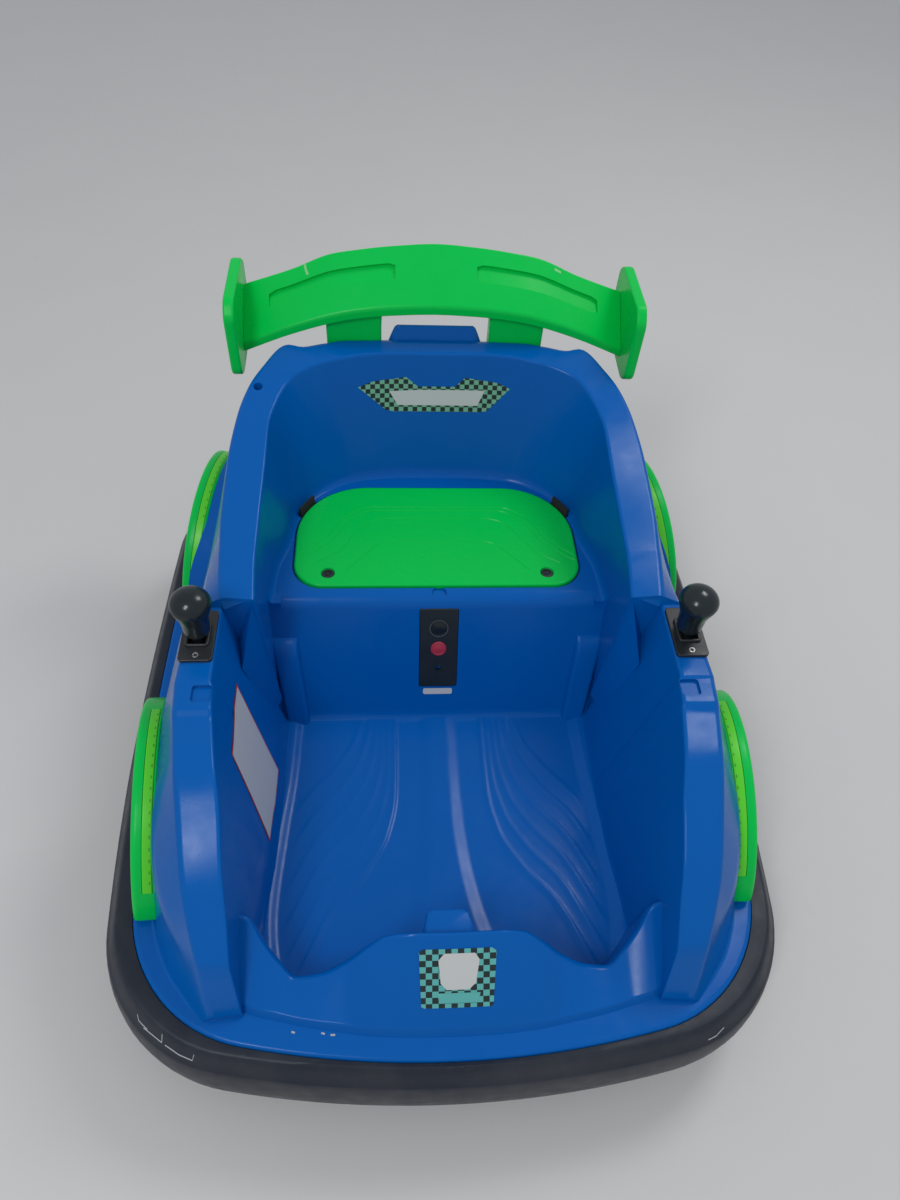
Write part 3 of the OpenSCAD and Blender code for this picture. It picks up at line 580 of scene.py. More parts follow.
def across(table, y):
    t = np.array(table, float)
    return monotone(t[:, 0], t[:, 1:], np.clip(y, t[0, 0], t[-1, 0]))[:, 0]


# Height of a fine rounded ridge along a line
def ridge_line(a, line):
    return np.exp(-((a - line) / 3.0) ** 2)


def floor_height(x, y):
    a = np.abs(x)
    spine, ridge, ledge = across(SPINE, y), across(RIDGE, y), across(LEDGE, y)
    h = 2.6 * blend01((spine - a) / 18 + 0.5)
    h += 1.8 * ridge_line(a, ridge) + 0.9 * blend01((a - ridge) / 6)
    for k in range(1, 6):
        line = across(RIDGE, y - 24 * k) + 7 * k
        h += 0.6 * ridge_line(a, line) * blend01((ledge - line) / 14)
    return h + 4.2 * blend01((a - ledge) / 13)


def floor_block():
    xs = np.arange(-192, 192.1, 1.6)
    ys = np.arange(-306, 22.1, 3.2)
    gx, gy = np.meshgrid(xs, ys)
    hz = floor_height(gx.ravel(), gy.ravel()).reshape(gx.shape)
    near = blend01((gy + 300) / 30) * blend01((18 - gy) / 12)
    hz = floor_z - 0.2 + hz * near
    rings = []
    for i, y in enumerate(ys):
        ring = [(sx(x), sy(y), hz[i, j]) for j, x in enumerate(xs)]
        ring += [(sx(xs[-1]), sy(y), floor_z - 12), (sx(xs[0]), sy(y), floor_z - 12)]
        rings.append(ring)
    return loft(rings)


def flange_slab():
    rings = [lift(outline(half_w, half_l, FLANGE_EDGE), base_z)]
    soft = 4
    for inset, rise in soft_edge(soft, 5):
        edge = outline(half_w - inset, half_l - inset, FLANGE_EDGE, inset)
        rings.append(lift(edge, flange_z - soft + rise))
    return loft(rings)


# Fenders: y of the axis, its drop below the flange, outer face, turn in plan, lean, angles of the ends
Fender = namedtuple("Fender", "y drop face turn lean start end")
FENDERS = {"front": Fender(-134, 13, 309, -5.4, -7.1, -61, 81),
           "rear": Fender(262, 12, 295, 7.6, -5.4, -40, 81)}
REAR = FENDERS["rear"]
fender_r, fender_w, fender_t = 121, 22, 12


def fender_frame(f):
    turn = Matrix.Rotation(math.radians(f.turn), 4, "Z") @ Matrix.Rotation(math.radians(f.lean), 4, "Y")
    return Matrix.Translation((sx(f.face), sy(f.y), flange_z - f.drop)) @ turn


def on_arc(f, x, r, a):
    return fender_frame(f) @ Vector((x, -r * math.sin(a), r * math.cos(a)))


def turn_band(f, section, a0, a1, n=48):
    rings = []
    for i in range(n + 1):
        a = math.radians(a0 + (a1 - a0) * i / n)
        rings.append([on_arc(f, x, r, a) for x, r in section])
    return loft(rings)


def arch(f, side):
    w, r = fender_w, fender_r
    outer = rounded([(-w - 34, r + 12, 0), (-w - 12, r + 3, 0), (-w + 1, r + 1, 0), (-w + 1, r - 3, 0)],
                    [0, 8, 1, 0], 4)
    sec = [(p.x, p.y) for p in outer]
    sec += [(-w + 1, r - fender_t), (-8, r - fender_t), (-8, r - 38), (-w - 34, r - 46)]
    return sided(turn_band(f, sec, f.start - 1, f.end + 1), side)


# The tub's side covers more and more of the rear fender's width from this angle to its front end
COVER_START = 24
COVER_STEPS = 40


def cover(side, room=0.0):
    w, r = fender_w, fender_r
    top, edge, brim = (r + 15, r + 15, r + 15) if room else (r + 5, r + 1.7, r + 0.9)
    rings = []
    for i in range(COVER_STEPS + 1):
        deg = COVER_START + (REAR.end + 1.2 - COVER_START) * i / COVER_STEPS
        x = -w - PLAY + 0.6 * w * blend01((deg - 25) / 45) + room
        sec = [(-w - 20, r - 14), (-w - 20, top), (x - 4, edge), (x, brim), (x, r - 14)]
        rings.append([on_arc(REAR, px, pr, math.radians(deg)) for px, pr in sec])
    return sided(loft(rings), side)


lever_x, lever_y = middle("lever_base_left", 0), middle("lever_base_left", 1)
pad_z = high("lever_base_left", 2) - 3.5
lid_x = high("seat_lid", 0)
lid_y0, lid_y1 = low("seat_lid", 1), high("seat_lid", 1)
screw_x, screw_y = lid_x - 39, lid_y0 + 19
belt_x, belt_y = high("belt_webbing", 0) - 8.7, middle("belt_webbing", 1)
belt_turn = 58
post_x, post_w, post_t = sx(95.5), 64, 22
post_y = sy(350)
post_foot = sz(220)
panel_w, panel_l = 44, 102


def lid_outline(grow, n=14):
    w, y0, y1 = lid_x + grow, lid_y0 - grow, lid_y1 + grow
    rb, rf = 82 + grow, 34 + grow
    return (arc((w - rb, y1 - rb), rb, 0, 90, n) + arc((rb - w, y1 - rb), rb, 90, 180, n)
            + arc((rf - w, y0 + rf), rf, 180, 270, n) + arc((w - rf, y0 + rf), rf, 270, 360, n))


def panel_frame():
    z = (floor_z + deck_z) / 2 + 13.5
    return Matrix.Translation((0, wall_y(z), z)) @ Matrix.Rotation(math.pi / 2 - wall_tilt, 4, "X")


def pilaster():
    rings = []
    for z, proud in ((70, 9), (80, 9), (120, 9), (162, 9), (171, 7.5), (176, 5), (179, 1), (180, -3)):
        t = (z - 78) / 100
        y, x0, x1 = wall_y(z * deck_z / 225), 149 + 10 * t, 176 + 14 * t
        pts = lift([(x0 - 3, y + 6), (x0, y + 1), (x0 + 2, y - proud), (x1 - 2, y - proud), (x1, y + 6)], z)
        rings.append(rounded(pts, [0, 3, 4, 4, 0], 3))
    return loft(rings)


# The end of the band round the seat runs down the inside of each pod
BAND_END = [
    [[190, 3, 170], [222, 3, 172], [219, -4, 162], [211, 6, 120], [190, 12, 165], [222, 12, 165],
     [222, 12, 120], [195, 12, 118]],
    [[191, 4, 169], [212, 7, 119], [206, -31, 101], [179, 7, -9], [225, 7, -9], [187, -18, -9]]]


def band_end(points):
    bm = bmesh.new()
    for x, y, z in points:
        bm.verts.new((sx(x), sy(y), sz(z)))
    bmesh.ops.convex_hull(bm, input=bm.verts)
    bm.verts.index_update()
    verts, faces = [v.co.copy() for v in bm.verts], [[v.index for v in f.verts] for f in bm.faces]
    bm.free()
    return outward(mesh_of(verts, faces))


def nose_boss():
    shape = [(-31, -296), (-25, -270), (-21, -267), (9, -267), (13, -270), (20, -296)]
    rings = []
    for z, inset in ((20, 0), (52, 0), (54.5, 0.6), (56, 2.4)):
        rings.append([(x - math.copysign(inset, x), sy(y - inset), sz(z)) for x, y in shape])
    return loft(rings)


def seat_back_ridge():
    half = post_x - post_w / 2 - 3.5
    z0, z1 = post_foot - 10, high("tub", 2)
    foot = z0 + 24
    rows = []
    for i in range(41):
        x = half * (-1 + i / 20)
        top = foot + (z1 - z0 - 24) * blend01((half - abs(x)) / 15)
        pts = [(x, sy(353), z0), (x, sy(352.5), top - 2), (x, sy(350), top), (x, sy(346.5), top),
               (x, sy(337), foot), (x, sy(334), z0)]
        rows.append(rounded(pts, [0, 1, 1.6, 1.6, 3, 0], 3))
    return loft(rows)


# Room under the tub for the wheels, the casters and the battery
WHEEL_ROOM, WELL_R = 7, 46


def well_cuts():
    axle_y = middle("drive_tyre_left", 1)
    wheel_r = (high("drive_tyre_left", 2) - low("drive_tyre_left", 2)) / 2
    x0, x1 = low("drive_tyre_left", 0) - 12, high("drive_tyre_left", 0) + WHEEL_ROOM
    cuts = [solid_box(x, axle_y, (x1 - x0) / 2, wheel_r + WHEEL_ROOM, base_z - 1, wheel_r * 2 + WHEEL_ROOM)
            for x in ((x0 + x1) / 2, -(x0 + x1) / 2)]
    caster_y = middle("caster_mount_rear", 1)
    cuts += [tube((0, y, base_z - 1), (0, y, floor_z - 4), WELL_R, WELL_R, 48)
             for y in (-caster_y, caster_y)]
    bay = x0 + 1
    top = deck_z - 18
    pts = [(wall_foot_y + 12, base_z - 1), (wall_foot_y + 12, floor_z - 12), (wall_y(top) + 18, top),
           (sy(250), top), (sy(250), base_z - 1)]
    cuts.append(loft([[(e * bay, y, z) for y, z in pts] for e in (-1, 1)]))
    return cuts


# Seats of the lid, the panel, the levers, the wing's posts and the belt, and small recesses and holes
def top_cuts():
    cuts = [prism(lid_outline(2), deck_z - 4, deck_z + 20)]
    cuts.append(placed(prism(round_box(panel_w + 2 * PLAY, panel_l + 2 * PLAY, 3), -4.5, 12),
                       panel_frame()))
    cuts += both(lambda: solid_box(lever_x, lever_y, 12, 23, pad_z - 20, pad_z + 20))
    cuts += both(lambda: solid_box(post_x, post_y, post_w / 2 + PLAY, post_t / 2 + PLAY,
                                   post_foot - PLAY, rim_z + 40))
    cuts += both(lambda: placed(solid_box(0, 0.6, 15.5, 2.8, -8.3, 20), belt_place(1)))
    cuts += both(lambda: prism(round_box(18, 18, 3, 4, (sx(228), sy(-103))), sz(161.5) - 3.5,
                               sz(161.5) + 20))
    cuts.append(tube((-sx(203), sy(263), sz(214)), (-sx(201), sy(265), sz(250)), 5, 5.4, 24))
    notch_y = wall_y(deck_z) + 7
    cuts.append(tube((0, notch_y, deck_z - 3), (0, notch_y, deck_z + 8), 8, 10, 24))
    return cuts


def belt_place(side):
    turn = Matrix.Rotation(math.radians(-belt_turn * side), 4, "Z")
    return Matrix.Translation((side * belt_x, belt_y, deck_z)) @ turn


def fender_room(f, side):
    w, r = fender_w, fender_r
    under = r - fender_t - PLAY
    sec = [(-w - PLAY, under), (-w - PLAY, r + 9), (9, r + 9), (9, under)]
    return sided(turn_band(f, sec, f.start - 0.15, f.end + 0.15), side)


def make_tub():
    slab = flange_slab()
    back = wall_y(flange_z) + 2
    pts = [(200, back), (200, sy(-262)), (160, sy(-304)), (-160, sy(-304)), (-200, sy(-262)), (-200, back)]
    well = [(sx(x) if abs(x) > 170 else x, y) for x, y in pts]
    slab = difference(slab, prism(well, floor_z - 6, flange_z + 20))
    parts = [tub_wall(), tub_nose(), seat_box(), floor_block(), seat_back_ridge(), nose_boss()]
    parts += both(pilaster)
    for points in BAND_END:
        parts += both(lambda: band_end(points))
    fenders = [(f, side) for f in FENDERS.values() for side in (1, -1)]
    slab = union(slab, *parts, *[arch(f, side) for f, side in fenders])
    rooms = [fender_room(f, side) for f, side in fenders]
    slab = difference(slab, *rooms, *well_cuts(), *top_cuts())
    return union(slab, cover(1), cover(-1))


tub = make_tub()
dress(tub, "tub_shell", tub_mat, ("tub",), 32)


# Bumper: share of its height and inset from its widest outline
BUMPER = [[0, 13], [0.03, 8], [0.08, 5], [0.2, 2], [0.36, 0.5], [0.5, 0], [0.64, 0.9], [0.74, 2.4],
          [0.79, 3.8], [0.805, 4.6], [0.82, 6], [0.88, 9], [0.94, 12], [0.98, 14.6], [1, 17.6]]


def make_bumper():
    w, l, foot = high("bumper_ring", 0), high("bumper_ring", 1), low("bumper_ring", 2)
    top = flange_z - BUMPER_STEP
    rings = [lift(outline(w - inset, l - inset, BUMPER_EDGE, inset), foot + s * (top - foot))
             for s, inset in BUMPER]
    inner = outline(half_w + 0.4, half_l + 0.4, FLANGE_EDGE)
    rings += [lift(inner, top - 1.5), lift(inner, foot)]
    return loft(rings, closed=True)


bumper = make_bumper()
dress(bumper, "bumper_band", bumper_mat, ("bumper_ring",), 50)


# Fender arcs with their light strips. The third number of a point is its share of the rounding at the ends
def rounded_ends(f, section, a0, a1, soft, n=56):
    rings = []
    for i in range(n + 1):
        deg = a0 + (a1 - a0) * (0.5 - 0.5 * math.cos(math.pi * i / n))
        edge = min(abs(deg - a0), abs(a1 - deg)) * math.pi / 180 * fender_r
        dip = soft - math.sqrt(max(0, soft * soft - max(0, soft - edge) ** 2))
        rings.append([on_arc(f, x, r - dip * k, math.radians(deg)) for x, r, k in section])
    return loft(rings)


def fender_section(w, r, t):
    start = (-w / 2, r - t, 0)
    pts = [start, (-w, r - t, 0), (-w, r, 0), (0, r, 0), (0, r - t, 0), start]
    pts = rounded(pts, [0, 0.6, 2.2, 5.5, 1.2, 0], 4)[:-1]
    return [(p.x, p.y, 1 if p.y > r - t / 2 else 0) for p in pts]


def strip_marks(f, x, s0, s1):
    turn = fender_frame(f).to_3x3()
    verts = []
    n = int((s1 - s0) / 5)
    for i in range(1, n):
        a = math.radians(s0 + (s1 - s0) * i / n)
        c = on_arc(f, x, fender_r + 0.25, a)
        u = (turn @ Vector((0, -math.cos(a), -math.sin(a)))) * 1.5
        v = (turn @ Vector((1, 0, 0))) * 0.6
        q = (turn @ Vector((0, -math.sin(a), math.cos(a)))) * 0.2
        verts += [c - u - v + q, c + u - v + q, c + u + v + q, c - u + v + q]
    return mesh_of(verts, [tuple(range(k, k + 4)) for k in range(0, len(verts), 4)])


def make_fender(f, side, word):
    w, r = fender_w, fender_r
    span = f.end - f.start
    s0, s1 = f.start + (7 if f is REAR else 0.22 * span), f.end - 0.13 * span
    ob = rounded_ends(f, fender_section(w, r, fender_t), f.start, f.end, 5)
    x0, x1 = -w + 3, -w + 12
    a, b = x0 - PLAY, x1 + PLAY
    room = turn_band(f, [(a, r - 3), (a, r + 3), (b, r + 3), (b, r - 3)], s0 - 0.2, s1 + 0.2)
    ob = difference(ob, room)
    low_r, top_r = r - 3.2, r + 0.3
    sec = rounded([(x0, low_r, 0), (x0, top_r, 0), (x1, top_r, 0), (x1, low_r, 0)], [0, 1.4, 1.4, 0], 3)
    strip = rounded_ends(f, [(p.x, p.y, 0) for p in sec], s0, s1, 2)
    if f is REAR:
        ob = difference(ob, cover(1, 0.15))
        strip = difference(strip, cover(1, 0.15))
        s1 = 34
    ob, strip, dots = [sided(o, side) for o in (ob, strip, strip_marks(f, x0 + 2.2, s0, s1))]
    dress(ob, "fender_%s_arc" % word, green_mat, ("fender_" + word,), 40)
    dress(strip, "strip_%s_lens" % word, strip_mat, ("strip_" + word,), 40)
    dress(dots, "strip_%s_marks" % word, lens_mat)


for end, f in FENDERS.items():
    for side, word in ((1, "left"), (-1, "right")):
        make_fender(f, side, end + "_" + word)


# Wing: share of the half span; front edge y, z; rear edge y, z below the top
BLADE = [[0, -58, -46.5, 0, 0], [0.22, -58, -48.5, 0, -3.5], [0.44, -58, -54.5, -1, -9.7],
         [0.53, -58, -59, -1, -13.5], [0.75, -59, -74, -3, -33], [1, -60, -96.5, -4, -52]]
blade_l = high("wing", 0)
wing_y, wing_z = high("wing", 1), high("wing", 2)
lip_t, blade_t, blade_depth = 10.5, 9, 58


def blade_row(s):
    t = np.array(BLADE, float)
    t = np.concatenate([(t[1:] * [-1, 1, 1, 1, 1])[::-1], t])
    return monotone(t[:, 0], t[:, 1:], [s])[0]


def blade_point(x, share):
    y0, z0, y1, z1 = blade_row(x / blade_l)
    return Vector((x, wing_y + y0 + (y1 - y0) * share, wing_z + z0 + (z1 - z0) * share))


def wing_post(side):
    rows = []
    for z, flare in ((post_foot, 0), (rim_z + 4, 0), (rim_z + 22, 0.3), (None, 2)):
        ring = round_box(post_w + 2 * flare, post_t, 3, 3, (side * post_x, post_y))
        if z is None:
            rows.append([(x, y, blade_point(x, (y - wing_y + blade_depth) / blade_depth).z - blade_t / 2)
                         for x, y in ring])
        else:
            rows.append(lift(ring, z))
    return loft(rows)


def wing_slot(side):
    steps, share = 20, 0.57
    rings = []
    for i in range(steps + 1):
        x = side * (47 + 146 * i / steps)
        half = 0.14 * (1 if 0 < i < steps else 0.75)
        a, b = blade_point(x, share - half), blade_point(x, share + half)
        up = Vector((0, -(b - a).z, (b - a).y)).normalized()
        rings.append([a + up * 4, b + up * 4, b - up * 4.2, a - up * 1.6])
    return loft(rings)


def make_wing():
    rings = []
    for i in range(65):
        x = blade_l * (-1 + i / 32)
        y0, z0, y1, z1 = blade_row(x / blade_l)
        y0, y1, z0, z1 = wing_y + y0, wing_y + y1, wing_z + z0, wing_z + z1
        under = (x, y0 + lip_t, z0 - blade_t * 0.6)
        pts = [under, (x, y0 + 3, z0 - lip_t), (x, y0, z0 - lip_t), (x, y0, z0), (x, y1, z1),
               (x, y1, z1 - blade_t * 0.7), under]
        rings.append(rounded(pts, [0, 1.2, 1.2, 3.5, 3, 2, 0], 4)[:-1])
    ob = union(loft(rings), wing_post(1), wing_post(-1))
    ob = difference(ob, wing_slot(1), wing_slot(-1))
    mod = ob.modifiers.new("edges", "BEVEL")
    mod.width = 0.7 * MM
    mod.segments = 2
    mod.limit_method = "ANGLE"
    mod.angle_limit = math.radians(40)
    mod.miter_outer = "MITER_ARC"
    return ob


wing = make_wing()
dress(wing, "wing_blade", green_mat, ("wing",), 40)

# End plate's outline, as shares of its length from the rear and of its height
END_PLATE = [[0.98, 0.10], [1, 0.82], [0.88, 0.97], [0.14, 1], [0.02, 0.9], [0, 0.45], [0.29, 0.06],
             [0.86, 0]]


def make_end_plate(node_name):
    (x0, y0, z0), (x1, y1, z1) = [tuple(c / MM for c in p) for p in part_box(node_name)]
    pts = [(0, y1 - a * (y1 - y0), z0 + b * (z1 - z0)) for a, b in END_PLATE]
    ring = rounded(pts + pts[:2], [0] + [7] * len(pts) + [0], 5)[1:-1]
    centre = sum(ring, Vector()) / len(ring)
    soft = 2.6
    edge = [(inset, soft - rise) for inset, rise in soft_edge(soft, 4)]
    ways = [Vector((0, p.y - centre.y, p.z - centre.z)).normalized() for p in ring]
    rings = []
    for x, inset in [(x0 + x, i) for x, i in edge] + [(x1 - x, i) for x, i in edge[::-1]]:
        rings.append([Vector((x, p.y, p.z)) - way * inset for p, way in zip(ring, ways)])
    dress(loft(rings), node_name + "_panel", green_mat, (node_name,), 40)


for name in ("wing_plate_left", "wing_plate_right"):
    make_end_plate(name)


# Seat lid: left half of its engraved lines, from the middle and from the lid's front
LINES = [
    [(86, 127), (112, 108), (128, 78), (150, 54), (160, 46)],
    [(82, 121), (106, 102), (122, 72), (148, 46), (160, 38)],
    [(62, 108), (82, 101), (99, 77), (116, 50), (142, 34)],
    [(58, 69), (72, 62), (84, 48), (106, 22)]]


def groove(points, z, r):
    pts = rounded([(x, y, z) for x, y in points], [0] + [9] * (len(points) - 2) + [0], 4)
    up = Vector((0, 0, 2))
    rings = []
    for i, p in enumerate(pts):
        a, b = pts[max(0, i - 1)], pts[min(len(pts) - 1, i + 1)]
        d = (b - a).normalized()
        n = Vector((-d.y, d.x, 0))
        rings.append([p + n * r + up, p - n * r + up, p - n * r * 0.9, p + Vector((0, 0, -r * 0.9)),
                      p + n * r * 0.9])
    return loft(rings)


def make_lid():
    z0, z1 = low("seat_lid", 2), high("seat_lid", 2)
    soft = 2.6
    rings = [lift(lid_outline(0), z0)]
    rings += [lift(lid_outline(-inset), z1 - soft + rise) for inset, rise in soft_edge(soft, 5)]
    lines = [[(-x, y) for x, y in half[::-1]] + half for half in LINES]
    cuts = [groove([(x, lid_y0 + y) for x, y in line], z1, 0.9) for line in lines]
    for x in (screw_x, -screw_x):
        cuts.append(tube((x, screw_y, z1 - 2.6), (x, screw_y, z1 + 3), 7.4, 8.6))
    return difference(loft(rings), *cuts)


dress(make_lid(), "lid_panel", green_mat, ("seat_lid",), 35)


def make_screws():
    heads = []
    for x in (screw_x, -screw_x):
        c = (x, screw_y, high("seat_lid", 2) - 3.4)
        ob = spin([(0.01, 0), (7, 0), (7, 1.6), (6.4, 2.2), (4.4, 2.4), (4, 1.2), (0.01, 1.2)], c)
        bars = []
        for a in (20, 110):
            bar = solid_box(0, 0, 3.4, 0.6, 1.0, 2.0)
            bars.append(placed(bar, Matrix.Translation(c) @ Matrix.Rotation(math.radians(a), 4, "Z")))
        heads.append(union(ob, *bars))
    return union(*heads)


dress(make_screws(), "lid_screw_heads", black_mat, ("lid_screws",), 35)


# Two short belt ends that lean and ripple a little
def make_belt():
    ends = []
    for side in (1, -1):
        rings = []
        for i in range(13):
            t = i / 12
            lean, half = 1.2 * t * t, 14 + 0.25 * math.sin(40 * t)
            back, front = -1.5 + lean, 1.2 + lean
            rings.append(lift([(-half, back), (half, back), (half, front), (-half, front)], -8 + 19 * t))
        ends.append(placed(loft(rings), belt_place(side)))
    return union(*ends)


dress(make_belt(), "belt_ends", web_mat, ("belt_webbing",), 50)


# Steering levers
def make_lever(word, side):
    at = (lever_x, lever_y)
    plate = soft_slab(32, 61, 4, pad_z + 0.2, pad_z + 3.5, 0.9, at)
    boss = soft_slab(23, 30, 4, pad_z + 3, pad_z + 6.6, 1.4, at)
    slot = prism(round_box(17, 26, 3, 4, at), pad_z - 1, pad_z + 20)
    cut = solid_box(lever_x, lever_y, 8.5, 13, pad_z - 5, pad_z + 20)
    small_y = lever_y - 23.5
    hole = tube((lever_x, small_y, pad_z + 2.2), (lever_x, small_y, pad_z + 9), 3.4, 3.6)
    plate = difference(union(plate, boss), slot, cut, hole)
    pin_z = pad_z - 10
    ears = [solid_box(lever_x + x, lever_y, 1.5, 6, pin_z - 5, pad_z + 1) for x in (-10.3, 10.3)]
    pin = tube((lever_x - 11, lever_y, pin_z), (lever_x + 11, lever_y, pin_z), 3, 3, 24)
    plate = union(plate, *ears, pin)
    ring = spin([(1.7, 0), (3.2, 0), (3.2, 1.0), (2.9, 1.3), (2.0, 1.3), (1.7, 1.0)],
                (lever_x, small_y, pad_z + 2.2), 32)
    foot, top = low("knob_left", 2), high("knob_left", 2)
    profile = [(0.01, pin_z - 6), (5.2, pin_z - 4), (6.8, pin_z), (6.8, pad_z + 6), (7.5, foot + 3),
               (0.01, foot + 3)]
    stem = spin(profile, (lever_x, lever_y, 0), 32)
    bore = tube((lever_x - 12, lever_y, pin_z), (lever_x + 12, lever_y, pin_z), 3.1, 3.1, 24)
    stem = difference(stem, bore)
    dome = 15
    seam = top - dome
    profile = [(0.01, foot), (11, foot), (12.2, foot + 1), (12.6, foot + 4), (13.2, seam - 21),
               (14.6, seam - 15), (16.6, seam - 9), (18.3, seam - 4), (18.7, seam - 1.6),
               (18.5, seam - 0.9), (18.9, seam - 0.3)]
    for a in [math.radians(a) for a in range(0, 91, 9)]:
        profile.append((max(0.01, 19.2 * math.cos(a)), seam + dome * math.sin(a)))
    knob = spin(profile, (lever_x, lever_y, 0), 56)
    plate, ring, stem, knob = [sided(o, side) for o in (plate, ring, stem, knob)]
    dress(plate, "lever_plate_" + word, black_mat, ("lever_base_" + word,))
    dress(ring, "lever_screw_" + word, steel_mat)
    body = "steering_lever_" + word
    dress(stem, "lever_stem_" + word, black_mat, ("lever_" + word,), body=body)
    dress(knob, "lever_knob_" + word, knob_mat, ("knob_" + word,), body=body)


for word, side in (("left", 1), ("right", -1)):
    make_lever(word, side)


# Control panel: the round button above, the red one in the middle and the charging socket below
def make_panel():
    plate = soft_slab(panel_w, panel_l, 3, -4.5, 0.5, 0.8, (0, 0))
    step = 26
    cuts = [tube((0, y, low_z), (0, y, 4), r, r, n)
            for y, low_z, r, n in ((step, -2, 9.8, 48), (0, -2, 9.3, 48), (-step, -6, 3, 32))]
    plate = difference(plate, *cuts)
    plate = union(plate, spin([(3.0, 0.3), (4.6, 0.3), (4.4, 0.9), (3.2, 0.9)], (0, -step, 0), 40))
    button = spin([(0.01, -2), (9.5, -2), (9.5, 0.2), (9.1, 0.7), (8.2, 0.8), (7.8, 0.4), (4, 0.8),
                   (0.01, 0.9)], (0, step, 0), 56)
    red = spin([(0.01, -2), (9, -2), (9, 0.9), (8.5, 1.5), (7.4, 1.7), (6.9, 1.2), (3.5, 1.8),
                (0.01, 2.0)], (0, 0, 0), 56)
    bezel = spin([(9.7, 0.35), (10.7, 0.35), (10.6, 0.75), (9.9, 0.75)], (0, step, 0), 56)
    for ob in (plate, button, red, bezel):
        placed(ob, panel_frame())
    dress(plate, "panel_plate", panel_mat, ("control_panel",), 35)
    dress(button, "sound_button_cap", knob_mat, ("sound_button",), 35)
    dress(red, "power_button_cap", red_mat, ("power_button",), 35)
    dress(bezel, "button_bezel", gearbox_mat)


make_panel()


# Blank labels and checkered stickers: a flat shape in square cells that take the materials in turn, with
# each corner dropped on the tub
skin = BVHTree.FromObject(tub, bpy.context.evaluated_depsgraph_get())
MOST_DROP = 0.010


def decal(name, shape, place, cell, mats, lift_by=0.35, reach=90):
    bm = bmesh.new()
    bm.faces.new([bm.verts.new((u, v, 0)) for u, v in shape])
    for k, normal in enumerate(((1, 0, 0), (0, 1, 0))):
        ends = [p[k] for p in shape]
        start = math.ceil(min(ends) / cell) * cell
        while start < max(ends):
            bmesh.ops.bisect_plane(bm, geom=bm.verts[:] + bm.edges[:] + bm.faces[:],
                                   plane_co=[start * n for n in normal], plane_no=normal)
            start += cell
    for f in bm.faces:
        c = f.calc_center_median()
        f.material_index = (math.floor(c.x / cell) + math.floor(c.y / cell)) % len(mats)
    ray = (place.to_3x3() @ Vector((0, 0, -1))).normalized()
    for v in bm.verts:
        hit = skin.ray_cast((place @ Vector((v.co.x, v.co.y, reach))) * MM, ray)[0]
        flat = (place @ v.co) * MM
        if hit is None or abs((hit - flat).dot(ray)) > MOST_DROP:
            hit = flat
        v.co = hit / MM - ray * lift_by
    mesh = bpy.data.meshes.new(name)
    bm.to_mesh(mesh)
    bm.free()
    mesh.transform(Matrix.Scale(MM, 4))
    ob = new_object(name, mesh)
    for m in mats:
        mesh.materials.append(m)
    for p in mesh.polygons:
        p.use_smooth = True
    mesh.update()
    normal = sum((p.normal * p.area for p in mesh.polygons), Vector())
    if normal.dot(ray) > 0:
        mesh.flip_normals()
    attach(ob, "chassis")


def looking(origin, normal, up):
    z = Vector(normal).normalized()
    x = Vector(up).cross(z).normalized()
    return Matrix.Translation(origin) @ Matrix((x, z.cross(x), z)).transposed().to_4x4()


CHECK = 5.6
nose_place = looking((1, sy(-322.5), sz(39.5)), (0, -0.718, 0.695), (0, 0.695, 0.718))
decal("nose_sticker", [(-34, 24), (-31, 27), (30, 27), (34, 24), (31.5, -25), (29, -26.5), (-29, -26.5),
                       (-32, -25)], nose_place, CHECK, [check_dark_mat, check_teal_mat])
decal("nose_sticker_blank", [(-12, 23), (15, 23), (19, 17), (16, -4), (10, -10), (-10, -10), (-15, -4),
                             (-17, 17)], nose_place, 9, [label_mat], 0.6)
decal("nose_sticker_strip", [(-18, -13), (20, -13), (18, -22), (-16, -22)], nose_place, 9,
      [check_teal_mat], 0.6)

back_place = looking((1.5, sy(300), sz(194)), (0, -1, 0.12), (0, 0.12, 1))
decal("back_sticker", [(-93, 14), (-76, 20), (-36, 25), (-22, 14), (22, 14), (34, 25), (74, 20), (88, 14),
                       (62, -15), (52, -17), (-50, -17), (-60, -15)], back_place, CHECK,
      [check_dark_mat, check_green_mat])
decal("back_sticker_blank", [(-56, 8), (-20, 10), (20, 10), (58, 10), (50, -9), (-46, -9)], back_place, 8,
      [label_mat], 0.6)

wall_lean = 0.2038
side_place = looking((sx(-193), sy(-107), floor_z + 93.5), (1, 0, wall_lean), (-wall_lean, 0, 1))
label = [(-27.8, 65.6), (52.2, 68.8), (31.1, -69.8), (-55.5, -64.5)]
decal("side_label_edge", label, side_place, 12, [label_edge_mat], 0.4)
decal("side_label", [(u * 0.955, v * 0.965) for u, v in label], side_place, 12, [label_mat], 0.65)
decal("panel_label", round_box(34, 8, 2, 3), panel_frame() @ Matrix.Translation((0, -57.5, 0)), 9,
      [label_mat], 0.4, 20)


# Scuffs and specks: a narrow strip along points x, y on the top of a piece
SCUFF_LIFT = 0.0003
ABOVE = 600


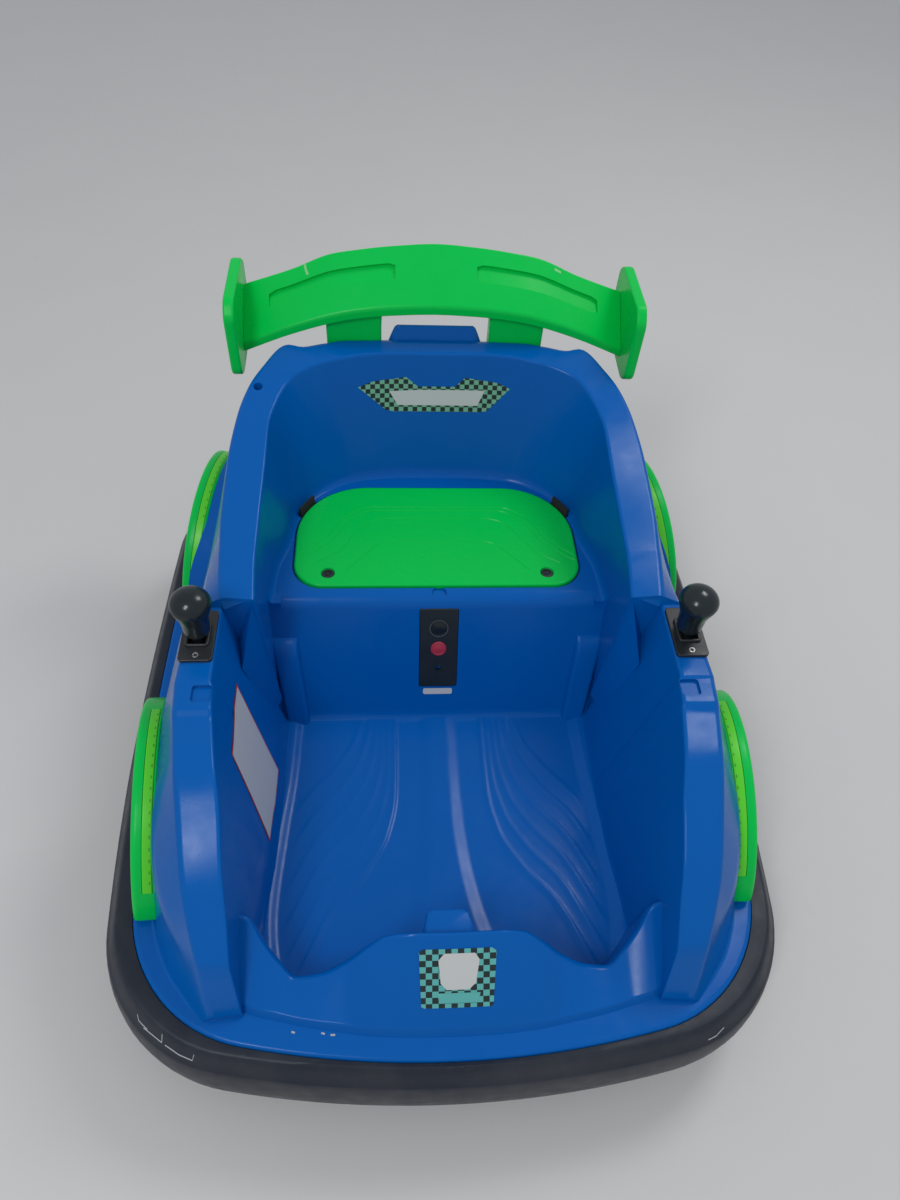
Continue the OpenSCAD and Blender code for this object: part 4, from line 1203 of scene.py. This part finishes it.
def scuff(name, on, points, mat, width):
    tree = BVHTree.FromObject(on, bpy.context.evaluated_depsgraph_get())
    verts = []
    for i, (x, y) in enumerate(points):
        a, b = points[max(0, i - 1)], points[min(len(points) - 1, i + 1)]
        n = Vector((a[1] - b[1], b[0] - a[0])).normalized() * width / 2
        for e in (1, -1):
            start = Vector((x + e * n.x, y + e * n.y, ABOVE)) * MM
            hit, normal = tree.ray_cast(start, Vector((0, 0, -1)))[:2]
            verts.append((hit + normal * SCUFF_LIFT) / MM)
    ob = mesh_of(verts, [(2 * i, 2 * i + 1, 2 * i + 3, 2 * i + 2) for i in range(len(points) - 1)], name)
    if sum(p.normal.z for p in ob.data.polygons) < 0:
        ob.data.flip_normals()
    ob.data.materials.append(mat)
    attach(ob, "chassis")


SCUFFS = {
    "bumper": (bumper, scuff_mat, 0.7, {
        0: [(-281, -328), (-280, -332), (-277, -335), (-271, -340)],
        1: [(-275, -338), (-264, -346), (-257, -351)],
        2: [(-256, -346), (-257, -351)],
        3: [(-254, -353), (-241, -361), (-229, -366), (-227, -363)],
        5: [(229, -367), (237, -364), (245, -358)]}),
    "flange": (tub, scuff_mat, 1.6, {
        0: [(-144, -350), (-141, -351)], 1: [(-110, -354), (-106, -354)], 2: [(-118, -352), (-115, -353)]}),
    "wing": (wing, wing_scuff_mat, 2.6, {
        0: [(-151, 387), (-149, 380), (-147, 376)], 1: [(139, 384), (147, 383)]})}
for word, (on, mat, width, lines) in SCUFFS.items():
    for n, points in lines.items():
        scuff("%s_scuff_%d" % (word, n), on, [(x, sy(y)) for x, y in points], mat, width)


# Stage, light and camera
scene = bpy.context.scene
bpy.ops.mesh.primitive_plane_add(size=9, location=(0, 0, 0))
ground = bpy.context.object
ground.name = "stage_floor"
ground.data.materials.append(plastic("stage_floor", (0.62, 0.61, 0.60), 0.6, 0.02))

world = bpy.data.worlds.new("world")
scene.world = world
world.use_nodes = True
sky = world.node_tree.nodes["Background"].inputs
sky["Color"].default_value = (0.86, 0.90, 0.95, 1)
sky["Strength"].default_value = 0.55


def lamp(name, place, size, power, color):
    data = bpy.data.lights.new(name, "AREA")
    data.shape = "RECTANGLE"
    data.size, data.size_y = size
    data.energy = power
    data.color = color
    ob = new_object(name, data)
    ob.location = place
    ob.rotation_euler = (Vector((0, 0, 0.2)) - Vector(place)).to_track_quat("-Z", "Y").to_euler()


lamp("window_light", (-0.9, -1.4, 2.3), (0.5, 0.9), 20, (0.96, 0.98, 1.0))
lamp("room_light", (1.2, 0.9, 2.4), (0.7, 0.7), 16, (1, 1, 1))

# The camera's columns: its right, its up, its back and its place
camera = bpy.data.cameras.new("main_camera")
camera.sensor_width = 36
camera.lens = 26.03
camera.clip_start = 0.02
view = new_object("main_camera", camera)
view.matrix_world = Matrix((
    (0.99733448, 0.0055945, -0.07275046, -0.058976),
    (-0.05162593, 0.75869674, -0.64939512, -0.563055),
    (0.05156249, 0.65141996, 0.75696324, 0.956169),
    (0, 0, 0, 1)))
scene.camera = view

scene.view_settings.view_transform = "Standard"
